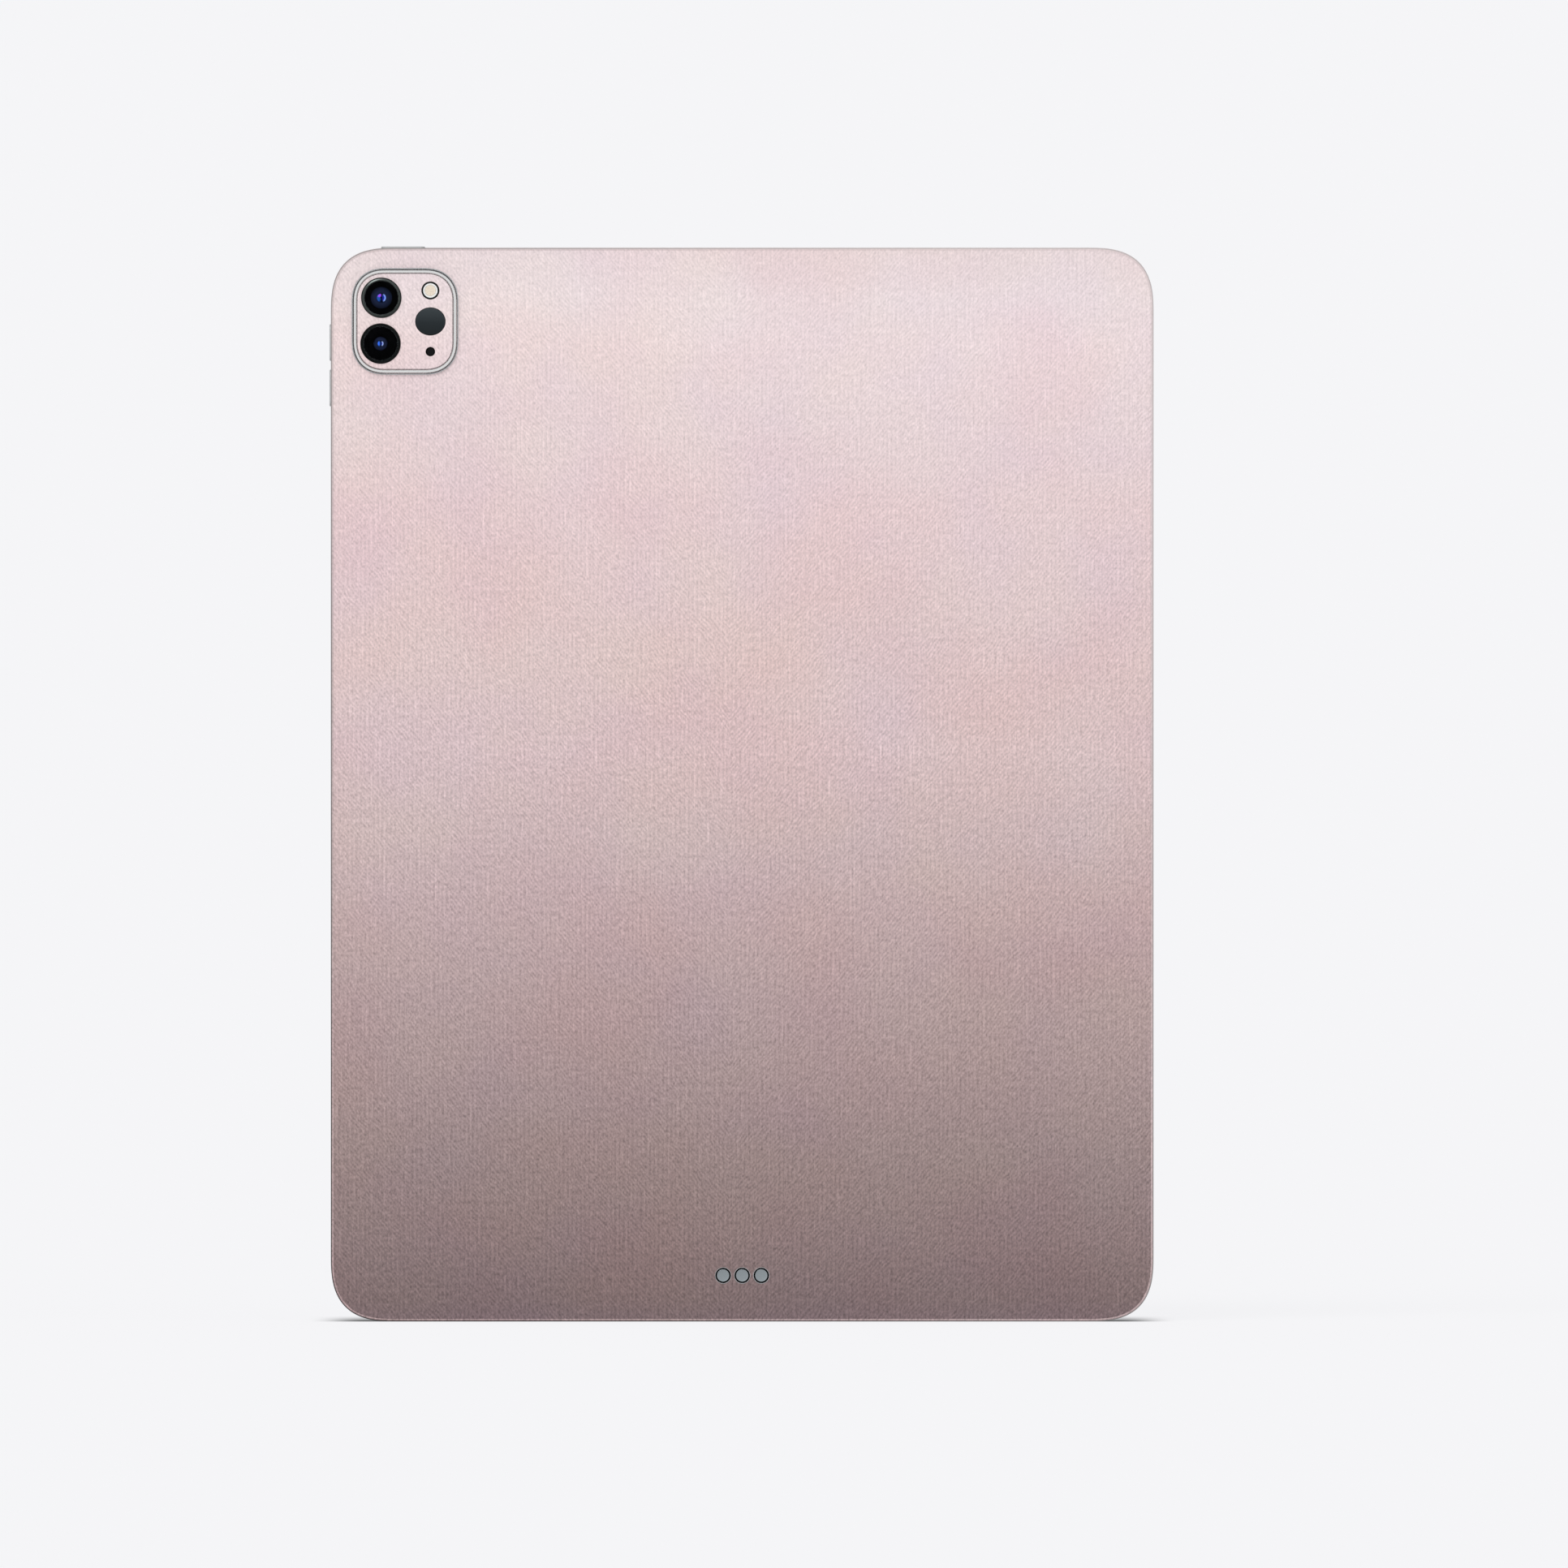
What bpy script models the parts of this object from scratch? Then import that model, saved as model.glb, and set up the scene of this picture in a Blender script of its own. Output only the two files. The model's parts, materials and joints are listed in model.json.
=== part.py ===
"""A 12.9-inch class tablet computer with a printed linen film on its back and edges.

It stands upright on its bottom edge. +X is to the right when the back is looked at, +Z is up,
the back faces -Y and the screen faces +Y. The origin is on the ground, under the middle of the
slab. Lengths are in millimetres up to the moment that they reach Blender, which takes metres.
"""

import math

import bmesh
import bpy
from mathutils import Matrix, Vector

MM = 0.001

# Driving dimensions of the slab
BODY_WIDTH = 214.9
BODY_HEIGHT = 280.6
BODY_DEPTH = 6.4
CORNER_REACH = 17.0      # how far along each side the soft corner starts
CORNER_POWER = 2.8       # 2 is a round corner, and more is squarer
CORNER_STEPS = 8
FILM = 0.2               # thickness of the printed film
BOND = 0.05              # adhesive line, or the air between two seated pieces

# Rear housing
BACK_WALL = 1.0
SIDE_WALL = 3.0
RIM_WALL = 0.9           # lip of the housing that runs round the glass
EDGE_CHAMFER = 0.3
GLASS_PROUD = 0.45       # how far the glass stands out of the lip

# Screen stack, from the outside in
GLASS = 0.8
GASKET = 0.4
LCD = 0.7
BACKLIGHT = 0.7
GLASS_CLEARANCE = 0.15
DISPLAY_MARGIN = 8.0

# Camera island
CAMERA_MARGIN_LEFT = 5.45
CAMERA_MARGIN_TOP = 5.25
CAMERA_SIZE = 27.4
CAMERA_REACH = 8.6
CAMERA_POWER = 2.3
CAMERA_RING = 1.2
CAMERA_LEDGE = 1.0
CAMERA_FLANGE = 1.2      # how far the flange reaches past the ring
CAMERA_FLANGE_THICK = 0.5
CAMERA_PROUD = 1.5       # ring above the metal back
COVER_PLATE = 0.8
PART_CLEARANCE = 0.1
FILM_CLEARANCE = 0.25
LENS_RADIUS = 5.2
LENS_COVER_RADIUS = 4.45
LENS_APERTURE = 3.6
LENS_SHANK = 4.5
LENS_PROUD = 0.6         # lens ring above the camera film
WIDE_LENS_FROM = (7.5, 7.5)          # from the island's left edge and its top edge
ULTRAWIDE_LENS_FROM = (7.3, 7.9)     # from its left edge and its bottom edge
LENS_MODULE = 10.0
FLASH_FROM = (7.05, 5.6)             # from the island's right edge and its top edge
FLASH_RADIUS = 2.27
FLASH_WALL = 0.32
LIDAR_FROM_RIGHT = 7.05
LIDAR_RADII = (3.9, 3.6)
MICROPHONE_FROM = (7.05, 5.8)        # from the island's right edge and its bottom edge
MICROPHONE_RADIUS = 1.15

# Buttons and edge openings
BUTTON_WIDTH = 2.8
BUTTON_PROUD = 0.6
BUTTON_CLEARANCE = 0.2
BUTTON_FLANGE = 0.6      # how far the flange reaches past each end of the cap
BUTTON_TRAVEL = 0.25
SWITCH_CLEARANCE = 0.22  # between a switch and the flange of the camera island
POWER_LENGTH = 11.5
POWER_FROM_LEFT = 18.65
VOLUME_LENGTH = 9.6
VOLUME_UP_FROM_TOP = 24.55
VOLUME_DOWN_FROM_TOP = 36.45
CHARGER_LENGTH = 29.1
CHARGER_WIDTH = 3.5
CHARGER_WINDOW = RIM_WALL    # the window is as deep as the lip, so it stays clear of the screen
USB_LENGTH = 8.94
USB_WIDTH = 3.16
USB_WALL = 0.3
USB_DEPTH = 7.3
USB_MOUTH = 0.1          # how far the mouth lies inside the metal edge
SPEAKER_HOLE = 1.5
SPEAKER_PITCH = 2.6
SPEAKER_HOLES = 8
SPEAKER_GAP = 4.4        # between a speaker and the flange of the camera island
SPEAKER_LENGTH = 38.0
SPEAKER_HEIGHT = 13.0

# Accessory contacts on the back
CONTACT_RADIUS = 1.65
CONTACT_COLLAR = 0.28
CONTACT_PITCH = 5.0
CONTACT_FROM_BOTTOM = 11.8

# Inside
BATTERY_MIDDLE_GAP = 34.0
BATTERY_BOTTOM = 30.0
BATTERY_TOP_CLEAR = 54.0
BOARD_WIDTH = 26.0
BOARD_BOTTOM = 60.0
BOARD_TOP_CLEAR = 42.0
BOARD = 0.8
MAGNET_WIDTH = 4.4
SCREW_HEAD = 1.5
SCREW_SHANK = 0.7

# Places that follow from the dimensions above
FLOOR_GAP = FILM + BOND
MIDDLE_Z = FLOOR_GAP + BODY_HEIGHT / 2
TOP_Z = FLOOR_GAP + BODY_HEIGHT
HALF_WIDTH = BODY_WIDTH / 2
FRONT_Y = BODY_DEPTH / 2
BACK_Y = -BODY_DEPTH / 2
FLOOR_Y = BACK_Y + BACK_WALL
GLASS_BACK_Y = FRONT_Y - GLASS
RIM_Y = FRONT_Y - GLASS_PROUD
GASKET_Y = GLASS_BACK_Y - BOND - GASKET
LEDGE_Y = GASKET_Y - BOND
LCD_Y = GLASS_BACK_Y - BOND - LCD
BACKLIGHT_Y = LCD_Y - BOND - BACKLIGHT
ROOM_Y = BACKLIGHT_Y - BOND
FILM_BACK_Y = BACK_Y - BOND - FILM
EDGE_MIDDLE = (BACK_Y + RIM_Y) / 2
CAMERA_X = -HALF_WIDTH + CAMERA_MARGIN_LEFT + CAMERA_SIZE / 2
CAMERA_Z = TOP_Z - CAMERA_MARGIN_TOP - CAMERA_SIZE / 2
CAMERA_HALF = CAMERA_SIZE / 2
WIDE_LENS_AT = (WIDE_LENS_FROM[0] - CAMERA_HALF, CAMERA_HALF - WIDE_LENS_FROM[1])
ULTRAWIDE_LENS_AT = (ULTRAWIDE_LENS_FROM[0] - CAMERA_HALF, ULTRAWIDE_LENS_FROM[1] - CAMERA_HALF)
FLASH_AT = (CAMERA_HALF - FLASH_FROM[0], CAMERA_HALF - FLASH_FROM[1])
LIDAR_AT = (CAMERA_HALF - LIDAR_FROM_RIGHT, 0.0)
MICROPHONE_AT = (CAMERA_HALF - MICROPHONE_FROM[0], MICROPHONE_FROM[1] - CAMERA_HALF)
RING_Y = BACK_Y - CAMERA_PROUD
CAMERA_FILM_Y = RING_Y + 0.1
COVER_Y = CAMERA_FILM_Y + FILM + BOND
COVER_BACK_Y = COVER_Y + COVER_PLATE
LENS_Y = CAMERA_FILM_Y - LENS_PROUD
FLANGE_Y = FLOOR_Y + BOND
FLANGE_TOP_Y = FLANGE_Y + CAMERA_FLANGE_THICK
SWITCH_HALF = EDGE_MIDDLE - FLANGE_TOP_Y - SWITCH_CLEARANCE
SPEAKER_END = CAMERA_X + CAMERA_SIZE / 2 + CAMERA_FLANGE + SPEAKER_GAP
SPEAKER_OUT = -SPEAKER_END - SPEAKER_LENGTH / 2

ALONG_X = "X"
ALONG_Y = "Y"
ALONG_Z = "Z"
# Each turn takes the local Z of a flat outline or a round bar to the named direction.
TURNS = {
    ALONG_X: Matrix(((0, 0, 1), (1, 0, 0), (0, 1, 0))).to_4x4(),
    ALONG_Y: Matrix(((1, 0, 0), (0, 0, -1), (0, 1, 0))).to_4x4(),
    ALONG_Z: Matrix.Identity(4),
}

COLOURS = {
    "aluminium": ((0.62, 0.63, 0.64), 0.35, 1.0),
    "screen_glass": ((0.01, 0.01, 0.012), 0.05, 0.0),
    "linen_film": ((0.70, 0.55, 0.55), 0.60, 0.0),
    "black_plastic": ((0.02, 0.02, 0.02), 0.45, 0.0),
    "pale_plastic": ((0.75, 0.76, 0.77), 0.40, 0.0),
    "rubber": ((0.03, 0.03, 0.03), 0.80, 0.0),
    "steel": ((0.55, 0.55, 0.56), 0.30, 1.0),
    "lens_glass": ((0.02, 0.02, 0.05), 0.03, 0.0),
    "display": ((0.03, 0.03, 0.035), 0.20, 0.0),
    "battery_pouch": ((0.12, 0.12, 0.13), 0.50, 0.0),
    "circuit_board": ((0.02, 0.10, 0.05), 0.50, 0.0),
    "ribbon": ((0.25, 0.12, 0.03), 0.50, 0.0),
    "graphite": ((0.06, 0.06, 0.06), 0.40, 0.3),
    "contact_metal": ((0.45, 0.47, 0.48), 0.35, 1.0),
}


def clear_scene():
    """Removes every object that is in the scene."""
    for item in list(bpy.data.objects):
        bpy.data.objects.remove(item, do_unlink=True)


def new_collection(name):
    """A collection of this name, linked to the scene."""
    collection = bpy.data.collections.new(name)
    bpy.context.scene.collection.children.link(collection)
    return collection


def new_material(name, colour, roughness, metallic):
    """A Principled material."""
    material = bpy.data.materials.new(name)
    material.use_nodes = True
    shader = material.node_tree.nodes["Principled BSDF"]
    shader.inputs["Base Color"].default_value = (*colour, 1.0)
    shader.inputs["Roughness"].default_value = roughness
    shader.inputs["Metallic"].default_value = metallic
    return material


clear_scene()
PARTS = new_collection("tablet_computer")
CUTTERS = new_collection("cutters")


# ---------------------------------------------------------------- shapes

def corner_curve(reach, power, inset, steps):
    """Points and inward offsets of one soft corner, from its +X end to its +Z end.

    The curve is a superellipse quarter, moved inwards along its normals by inset, so that
    outlines with different insets stay parallel.
    """
    points = []
    for number in range(steps + 1):
        angle = math.pi / 2 * number / steps
        across = math.cos(angle) ** (2 / power)
        along = math.sin(angle) ** (2 / power)
        normal = Vector((across ** (power - 1), along ** (power - 1))).normalized()
        points.append((reach * across - inset * normal.x, reach * along - inset * normal.y))
    return points


def soft_rectangle(width, height, reach, power=2.0, inset=0.0, steps=CORNER_STEPS):
    """Outline of a rectangle with soft corners about the origin, anticlockwise."""
    quarter = corner_curve(reach, power, inset, steps)
    across = width / 2 - reach
    along = height / 2 - reach
    outline = [(across + x, along + y) for x, y in quarter]
    outline += [(-across - x, along + y) for x, y in reversed(quarter)]
    outline += [(-across - x, -along - y) for x, y in quarter]
    outline += [(across + x, -along - y) for x, y in reversed(quarter)]
    return [p for i, p in enumerate(outline) if math.dist(p, outline[i - 1]) > BOND / 10]


def body_outline(inset):
    """Outline of the slab, moved inwards by inset."""
    return soft_rectangle(BODY_WIDTH, BODY_HEIGHT, CORNER_REACH, CORNER_POWER, inset)


def camera_outline(inset):
    """Outline of the camera island, moved inwards by inset."""
    return soft_rectangle(CAMERA_SIZE, CAMERA_SIZE, CAMERA_REACH, CAMERA_POWER, inset)


def slot_outline(length, width):
    """Outline of a slot with round ends, along local X."""
    return soft_rectangle(length, width, width / 2, steps=4)


def ellipse_outline(radius_x, radius_z, sides=32):
    """Outline of an ellipse."""
    turns = [2 * math.pi * side / sides for side in range(sides)]
    return [(radius_x * math.cos(turn), radius_z * math.sin(turn)) for turn in turns]


def weld(mesh):
    """Joins the doubled points of a mesh and turns its faces outwards."""
    shape = bmesh.new()
    shape.from_mesh(mesh)
    bmesh.ops.remove_doubles(shape, verts=shape.verts, dist=1e-6)
    bmesh.ops.recalc_face_normals(shape, faces=shape.faces)
    shape.to_mesh(mesh)
    shape.free()


def place(name, mesh, matrix, material, collection):
    """An object that shows mesh under matrix."""
    item = bpy.data.objects.new(name, mesh)
    item.matrix_world = matrix
    collection.objects.link(item)
    if collection is CUTTERS:
        item.hide_render = True
        item.display_type = "WIRE"
    else:
        mesh.materials.append(material)
    return item


def slab(name, outline, low, high, material=None, at=(0.0, 0.0), axis=ALONG_Y, frame=None):
    """A flat outline given thickness from low to high along an axis.

    Along Y the outline is drawn in X and Z, so at is (x, z) and the thickness runs in Y. Along
    Z it is drawn in X and Y, and along X in Y and Z. A frame moves the finished piece.
    """
    curve = bpy.data.curves.new(name, "CURVE")
    curve.dimensions = "2D"
    curve.fill_mode = "BOTH"
    curve.extrude = (high - low) / 2 * MM
    spline = curve.splines.new("POLY")
    spline.points.add(len(outline) - 1)
    for point, (x, y) in zip(spline.points, outline):
        point.co = ((at[0] + x) * MM, (at[1] + y) * MM, 0.0, 1.0)
    spline.use_cyclic_u = True
    guide = bpy.data.objects.new(name, curve)
    bpy.context.scene.collection.objects.link(guide)
    graph = bpy.context.evaluated_depsgraph_get()
    mesh = bpy.data.meshes.new_from_object(guide.evaluated_get(graph))
    bpy.data.objects.remove(guide, do_unlink=True)
    weld(mesh)
    sign = -1 if axis == ALONG_Y else 1
    middle = Vector((0, 0, sign * (low + high) / 2 * MM))
    matrix = (frame or Matrix.Identity(4)) @ TURNS[axis] @ Matrix.Translation(middle)
    return place(name, mesh, matrix, material, CUTTERS if material is None else PARTS)


def box(name, centre, size, material=None, bevel=0.0, frame=None):
    """A box, with its long edges rounded if bevel is more than nothing."""
    shape = bmesh.new()
    bmesh.ops.create_cube(shape, size=1.0)
    bmesh.ops.scale(shape, vec=Vector(size) * MM, verts=shape.verts)
    mesh = bpy.data.meshes.new(name)
    shape.to_mesh(mesh)
    shape.free()
    matrix = (frame or Matrix.Identity(4)) @ Matrix.Translation(Vector(centre) * MM)
    item = place(name, mesh, matrix, material, CUTTERS if material is None else PARTS)
    if bevel:
        soften(item, bevel, 2)
    return item


def rod(name, radius, low, high, at, material=None, axis=ALONG_Y, sides=24, frame=None):
    """A round bar from low to high along an axis. at is its place as in slab."""
    shape = bmesh.new()
    bmesh.ops.create_cone(
        shape,
        cap_ends=True,
        segments=sides,
        radius1=radius * MM,
        radius2=radius * MM,
        depth=(high - low) * MM,
    )
    mesh = bpy.data.meshes.new(name)
    shape.to_mesh(mesh)
    shape.free()
    sign = -1 if axis == ALONG_Y else 1
    middle = Vector((at[0], at[1], sign * (low + high) / 2)) * MM
    matrix = (frame or Matrix.Identity(4)) @ TURNS[axis] @ Matrix.Translation(middle)
    item = place(name, mesh, matrix, material, CUTTERS if material is None else PARTS)
    smooth(item)
    return item


def turned(name, profile, at, material, sides=32):
    """A turned piece on an axis along Y at (x, z).

    The profile is a closed loop of (radius, depth out of the back), and it runs down its outer
    side first.
    """
    mesh = bpy.data.meshes.new(name)
    points = [(radius * MM, 0.0, depth * MM) for radius, depth in profile]
    count = len(points)
    mesh.from_pydata(points, [(i, (i + 1) % count) for i in range(count)], [])
    matrix = TURNS[ALONG_Y] @ Matrix.Translation(Vector((at[0], at[1], 0.0)) * MM)
    item = place(name, mesh, matrix, material, PARTS)
    spin = item.modifiers.new("turn", "SCREW")
    spin.axis = "Z"
    spin.steps = sides
    spin.render_steps = sides
    spin.use_merge_vertices = True
    spin.merge_threshold = 0.00001
    return item


def smooth(item):
    """Smooth shading with sharp edges where the shape turns."""
    item.data.shade_smooth()
    item.data.set_sharp_from_angle(angle=math.radians(35))


def soften(item, width, segments=1):
    """Rounds or chamfers the sharp edges of a piece."""
    bevel = item.modifiers.new("edges", "BEVEL")
    bevel.width = width * MM
    bevel.segments = segments
    bevel.limit_method = "ANGLE"
    bevel.angle_limit = math.radians(60)
    bevel.harden_normals = False


def combine(item, operation, others):
    """Adds one Boolean modifier to item, which takes all the others at once."""
    group = bpy.data.collections.new(f"{item.name}_{operation.lower()}")
    CUTTERS.children.link(group)
    for other in others:
        group.objects.link(other)
    boolean = item.modifiers.new(operation.lower(), "BOOLEAN")
    boolean.operation = operation
    boolean.solver = "EXACT"
    boolean.operand_type = "COLLECTION"
    boolean.collection = group


def cut(item, *cutters):
    """Cuts each cutter out of item."""
    combine(item, "DIFFERENCE", cutters)


def join(item, *helpers):
    """Joins helpers to item."""
    combine(item, "UNION", helpers)


def block(name, low, high, material=None):
    """A box from one corner to the opposite one."""
    centre = [(a + b) / 2 for a, b in zip(low, high)]
    return box(name, centre, [b - a for a, b in zip(low, high)], material)


MATERIALS = {name: new_material(name, *values) for name, values in COLOURS.items()}
ALUMINIUM = MATERIALS["aluminium"]
BLACK_PLASTIC = MATERIALS["black_plastic"]
FILM_PRINT = MATERIALS["linen_film"]
STEEL = MATERIALS["steel"]
RIBBON = MATERIALS["ribbon"]
BODY_AT = (0.0, MIDDLE_Z)
CAMERA_AT = (CAMERA_X, CAMERA_Z)


# ---------------------------------------------------------------- edge frames

def edge_frame(x, z, outward):
    """A frame on the metal edge: local Z points out of the slab and local Y is world Y."""
    turn = math.atan2(outward[0], outward[1])
    place_at = Matrix.Translation(Vector((x, EDGE_MIDDLE, z)) * MM)
    return place_at @ Matrix.Rotation(turn, 4, "Y")


LEFT_OUT = (-1.0, 0.0)
UP_OUT = (0.0, 1.0)
DOWN_OUT = (0.0, -1.0)
BUTTONS = {
    "power": (edge_frame(-HALF_WIDTH + POWER_FROM_LEFT, TOP_Z, UP_OUT), POWER_LENGTH),
    "volume_up": (edge_frame(-HALF_WIDTH, TOP_Z - VOLUME_UP_FROM_TOP, LEFT_OUT), VOLUME_LENGTH),
    "volume_down": (edge_frame(-HALF_WIDTH, TOP_Z - VOLUME_DOWN_FROM_TOP, LEFT_OUT), VOLUME_LENGTH),
}
CHARGER_FRAME = edge_frame(-HALF_WIDTH, MIDDLE_Z, LEFT_OUT)
USB_FRAME = edge_frame(0.0, FLOOR_GAP, DOWN_OUT)
SPEAKERS = {
    "top_left": edge_frame(-SPEAKER_OUT, TOP_Z, UP_OUT),
    "top_right": edge_frame(SPEAKER_OUT, TOP_Z, UP_OUT),
    "bottom_left": edge_frame(-SPEAKER_OUT, FLOOR_GAP, DOWN_OUT),
    "bottom_right": edge_frame(SPEAKER_OUT, FLOOR_GAP, DOWN_OUT),
}
THROUGH = SIDE_WALL + 1.0
SPEAKER_SLOT = SPEAKER_PITCH * (SPEAKER_HOLES - 1) + SPEAKER_HOLE
SCREW_PLACES = {
    "board_screw_lower": (BOARD_WIDTH / 2 - 2.5, BOARD_BOTTOM + 3.0),
    "board_screw_upper": (BOARD_WIDTH / 2 - 2.5, TOP_Z - BOARD_TOP_CLEAR - 3.0),
}
CONTACTS = {
    "contact_pin_left": -CONTACT_PITCH,
    "contact_pin_middle": 0.0,
    "contact_pin_right": CONTACT_PITCH,
}
CONTACT_Z = FLOOR_GAP + CONTACT_FROM_BOTTOM
COLLAR_RADIUS = CONTACT_RADIUS + BOND + CONTACT_COLLAR
THREAD_Y = BACK_Y + 0.4


# ---------------------------------------------------------------- housing

def button_cutters(name, frame, length):
    """The through slot of a button, and the wider room for its flange behind it."""
    width = BUTTON_WIDTH + 2 * BUTTON_CLEARANCE
    slot = slot_outline(length + 2 * BUTTON_CLEARANCE, width)
    room = slot_outline(length + 2 * (BUTTON_FLANGE + BUTTON_CLEARANCE), width - BOND)
    return [
        slab(f"{name}_slot", slot, -THROUGH, 1.0, axis=ALONG_Z, frame=frame),
        slab(f"{name}_room", room, -THROUGH, -SIDE_WALL / 2, axis=ALONG_Z, frame=frame),
    ]


def speaker_cutters(name, frame):
    """A row of drilled holes."""
    first = -SPEAKER_PITCH * (SPEAKER_HOLES - 1) / 2
    return [
        rod(
            f"{name}_hole_{number}",
            SPEAKER_HOLE / 2,
            -THROUGH,
            1.0,
            (first + number * SPEAKER_PITCH, 0.0),
            axis=ALONG_Z,
            sides=10,
            frame=frame,
        )
        for number in range(SPEAKER_HOLES)
    ]


def housing_openings():
    """Cutters for everything that goes through the walls or the back of the housing."""
    play = 2 * PART_CLEARANCE
    openings = []
    for name, (frame, length) in BUTTONS.items():
        openings += button_cutters(name, frame, length)
    charger = slot_outline(CHARGER_LENGTH + play, CHARGER_WIDTH + play)
    openings.append(
        slab("charger_slot", charger, -THROUGH, 1.0, axis=ALONG_Z, frame=CHARGER_FRAME)
    )
    port = slot_outline(USB_LENGTH + play, USB_WIDTH + play)
    depth = USB_DEPTH + USB_MOUTH + PART_CLEARANCE
    openings.append(slab("port_slot", port, -depth, 1.0, axis=ALONG_Z, frame=USB_FRAME))
    for name, frame in SPEAKERS.items():
        openings += speaker_cutters(name, frame)
    island_hole = camera_outline(-PART_CLEARANCE)
    openings.append(
        slab("camera_opening", island_hole, BACK_Y - 1.0, FLOOR_Y + 0.5, at=CAMERA_AT)
    )
    for name, x in CONTACTS.items():
        at = (x, CONTACT_Z)
        openings.append(rod(f"{name}_hole", COLLAR_RADIUS + BOND, BACK_Y - 1.0, FLOOR_Y + 0.5, at))
    thread = SCREW_SHANK + BOND
    for name, at in SCREW_PLACES.items():
        openings.append(rod(f"{name}_thread", thread, THREAD_Y, FLOOR_Y + 0.5, at, sides=12))
    return openings


def make_housing():
    """The aluminium tray, with everything that is cut through its walls."""
    housing = slab("rear_housing", body_outline(0.0), BACK_Y, RIM_Y, ALUMINIUM, BODY_AT)
    soften(housing, EDGE_CHAMFER)
    beyond = FRONT_Y + 1.0
    cut(
        housing,
        slab("glass_recess", body_outline(RIM_WALL), LEDGE_Y, beyond, at=BODY_AT),
        slab("tray_room", body_outline(SIDE_WALL), FLOOR_Y, beyond, at=BODY_AT),
        *housing_openings(),
    )


# ---------------------------------------------------------------- screen

def make_screen():
    """Cover glass, its gasket, the LCD and its backlight."""
    glass_inset = RIM_WALL + GLASS_CLEARANCE
    glass = slab(
        "front_glass",
        body_outline(glass_inset),
        GLASS_BACK_Y,
        FRONT_Y,
        MATERIALS["screen_glass"],
        BODY_AT,
    )
    soften(glass, 0.25)
    gasket = slab(
        "display_gasket",
        body_outline(glass_inset + BOND),
        GASKET_Y,
        GASKET_Y + GASKET,
        MATERIALS["rubber"],
        BODY_AT,
    )
    window = body_outline(SIDE_WALL + 0.4)
    cut(gasket, slab("gasket_window", window, GASKET_Y - 1, FRONT_Y, at=BODY_AT))
    slab(
        "lcd_cell",
        body_outline(DISPLAY_MARGIN),
        LCD_Y,
        LCD_Y + LCD,
        MATERIALS["display"],
        BODY_AT,
    )
    slab(
        "backlight_unit",
        body_outline(DISPLAY_MARGIN),
        BACKLIGHT_Y,
        BACKLIGHT_Y + BACKLIGHT,
        ALUMINIUM,
        BODY_AT,
    )


def make_front_sensors():
    """Front camera, infrared camera and dot projector in a bracket under the glass border."""
    barrel = 1.9
    height = TOP_Z - (DISPLAY_MARGIN + SIDE_WALL + 0.15) / 2
    plate = (-0.3, 0.3)
    seats = []
    bracket = block(
        "front_sensor_bracket",
        (-17.0, plate[0], height - 2.1),
        (17.0, plate[1], height + 2.1),
        STEEL,
    )
    for name, x in (("infrared_camera", -11.0), ("front_camera", 0.0), ("dot_projector", 11.0)):
        sensor = rod(name, barrel, plate[1] + BOND, GLASS_BACK_Y - BOND, (x, height), BLACK_PLASTIC)
        waist = rod(f"{name}_waist", 1.0, plate[0] - 0.6, plate[1] + 0.5, (x, height), sides=16)
        join(sensor, waist)
        seats.append(
            rod(f"{name}_seat", 1.0 + PART_CLEARANCE, -2.0, 2.0, (x, height), sides=16)
        )
    cut(bracket, *seats)


# ---------------------------------------------------------------- film

def film_openings():
    """Cutters for everything that shows through the film on the edges."""
    wide = 2 * (BUTTON_CLEARANCE + FILM_CLEARANCE)
    openings = []
    for name, (frame, length) in BUTTONS.items():
        outline = slot_outline(length + wide, BUTTON_WIDTH + wide)
        openings.append(slab(f"{name}_film", outline, -1.0, 1.0, axis=ALONG_Z, frame=frame))
    round_slots = [
        ("charger", CHARGER_FRAME, CHARGER_LENGTH, CHARGER_WIDTH),
        ("port", USB_FRAME, USB_LENGTH, USB_WIDTH),
    ]
    for name, frame in SPEAKERS.items():
        round_slots.append((name, frame, SPEAKER_SLOT, SPEAKER_HOLE))
    for name, frame, length, width in round_slots:
        outline = slot_outline(length + 2 * FILM_CLEARANCE, width + 2 * FILM_CLEARANCE)
        openings.append(slab(f"{name}_film", outline, -1.0, 1.0, axis=ALONG_Z, frame=frame))
    return openings


def make_edge_films():
    """Four strips that wrap the metal edge: two long sides, and two ends with the corners."""
    low = BACK_Y + EDGE_CHAMFER + 0.15
    high = RIM_Y - EDGE_CHAMFER - 0.1
    seam = BODY_HEIGHT / 2 - CORNER_REACH
    edge = HALF_WIDTH + 2.0
    spans = {
        "edge_film_left": ((-edge, -seam + BOND), (-HALF_WIDTH + 5.0, seam - BOND)),
        "edge_film_right": ((HALF_WIDTH - 5.0, -seam + BOND), (edge, seam - BOND)),
        "edge_film_top": ((-edge, seam + BOND), (edge, BODY_HEIGHT)),
        "edge_film_bottom": ((-edge, -BODY_HEIGHT), (edge, -seam - BOND)),
    }
    inner = slab("edge_film_inside", body_outline(-BOND), low - 1, high + 1, at=BODY_AT)
    openings = film_openings()
    for name, (first, last) in spans.items():
        film = slab(name, body_outline(-BOND - FILM), low, high, FILM_PRINT, BODY_AT)
        keep = block(
            f"{name}_span",
            (first[0], low - 1, MIDDLE_Z + first[1]),
            (last[0], high + 1, MIDDLE_Z + last[1]),
        )
        combine(film, "INTERSECT", [keep])
        side = name.rsplit("_", 1)[1]
        cut(film, inner, *[opening for opening in openings if meets(opening, side)])


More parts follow.
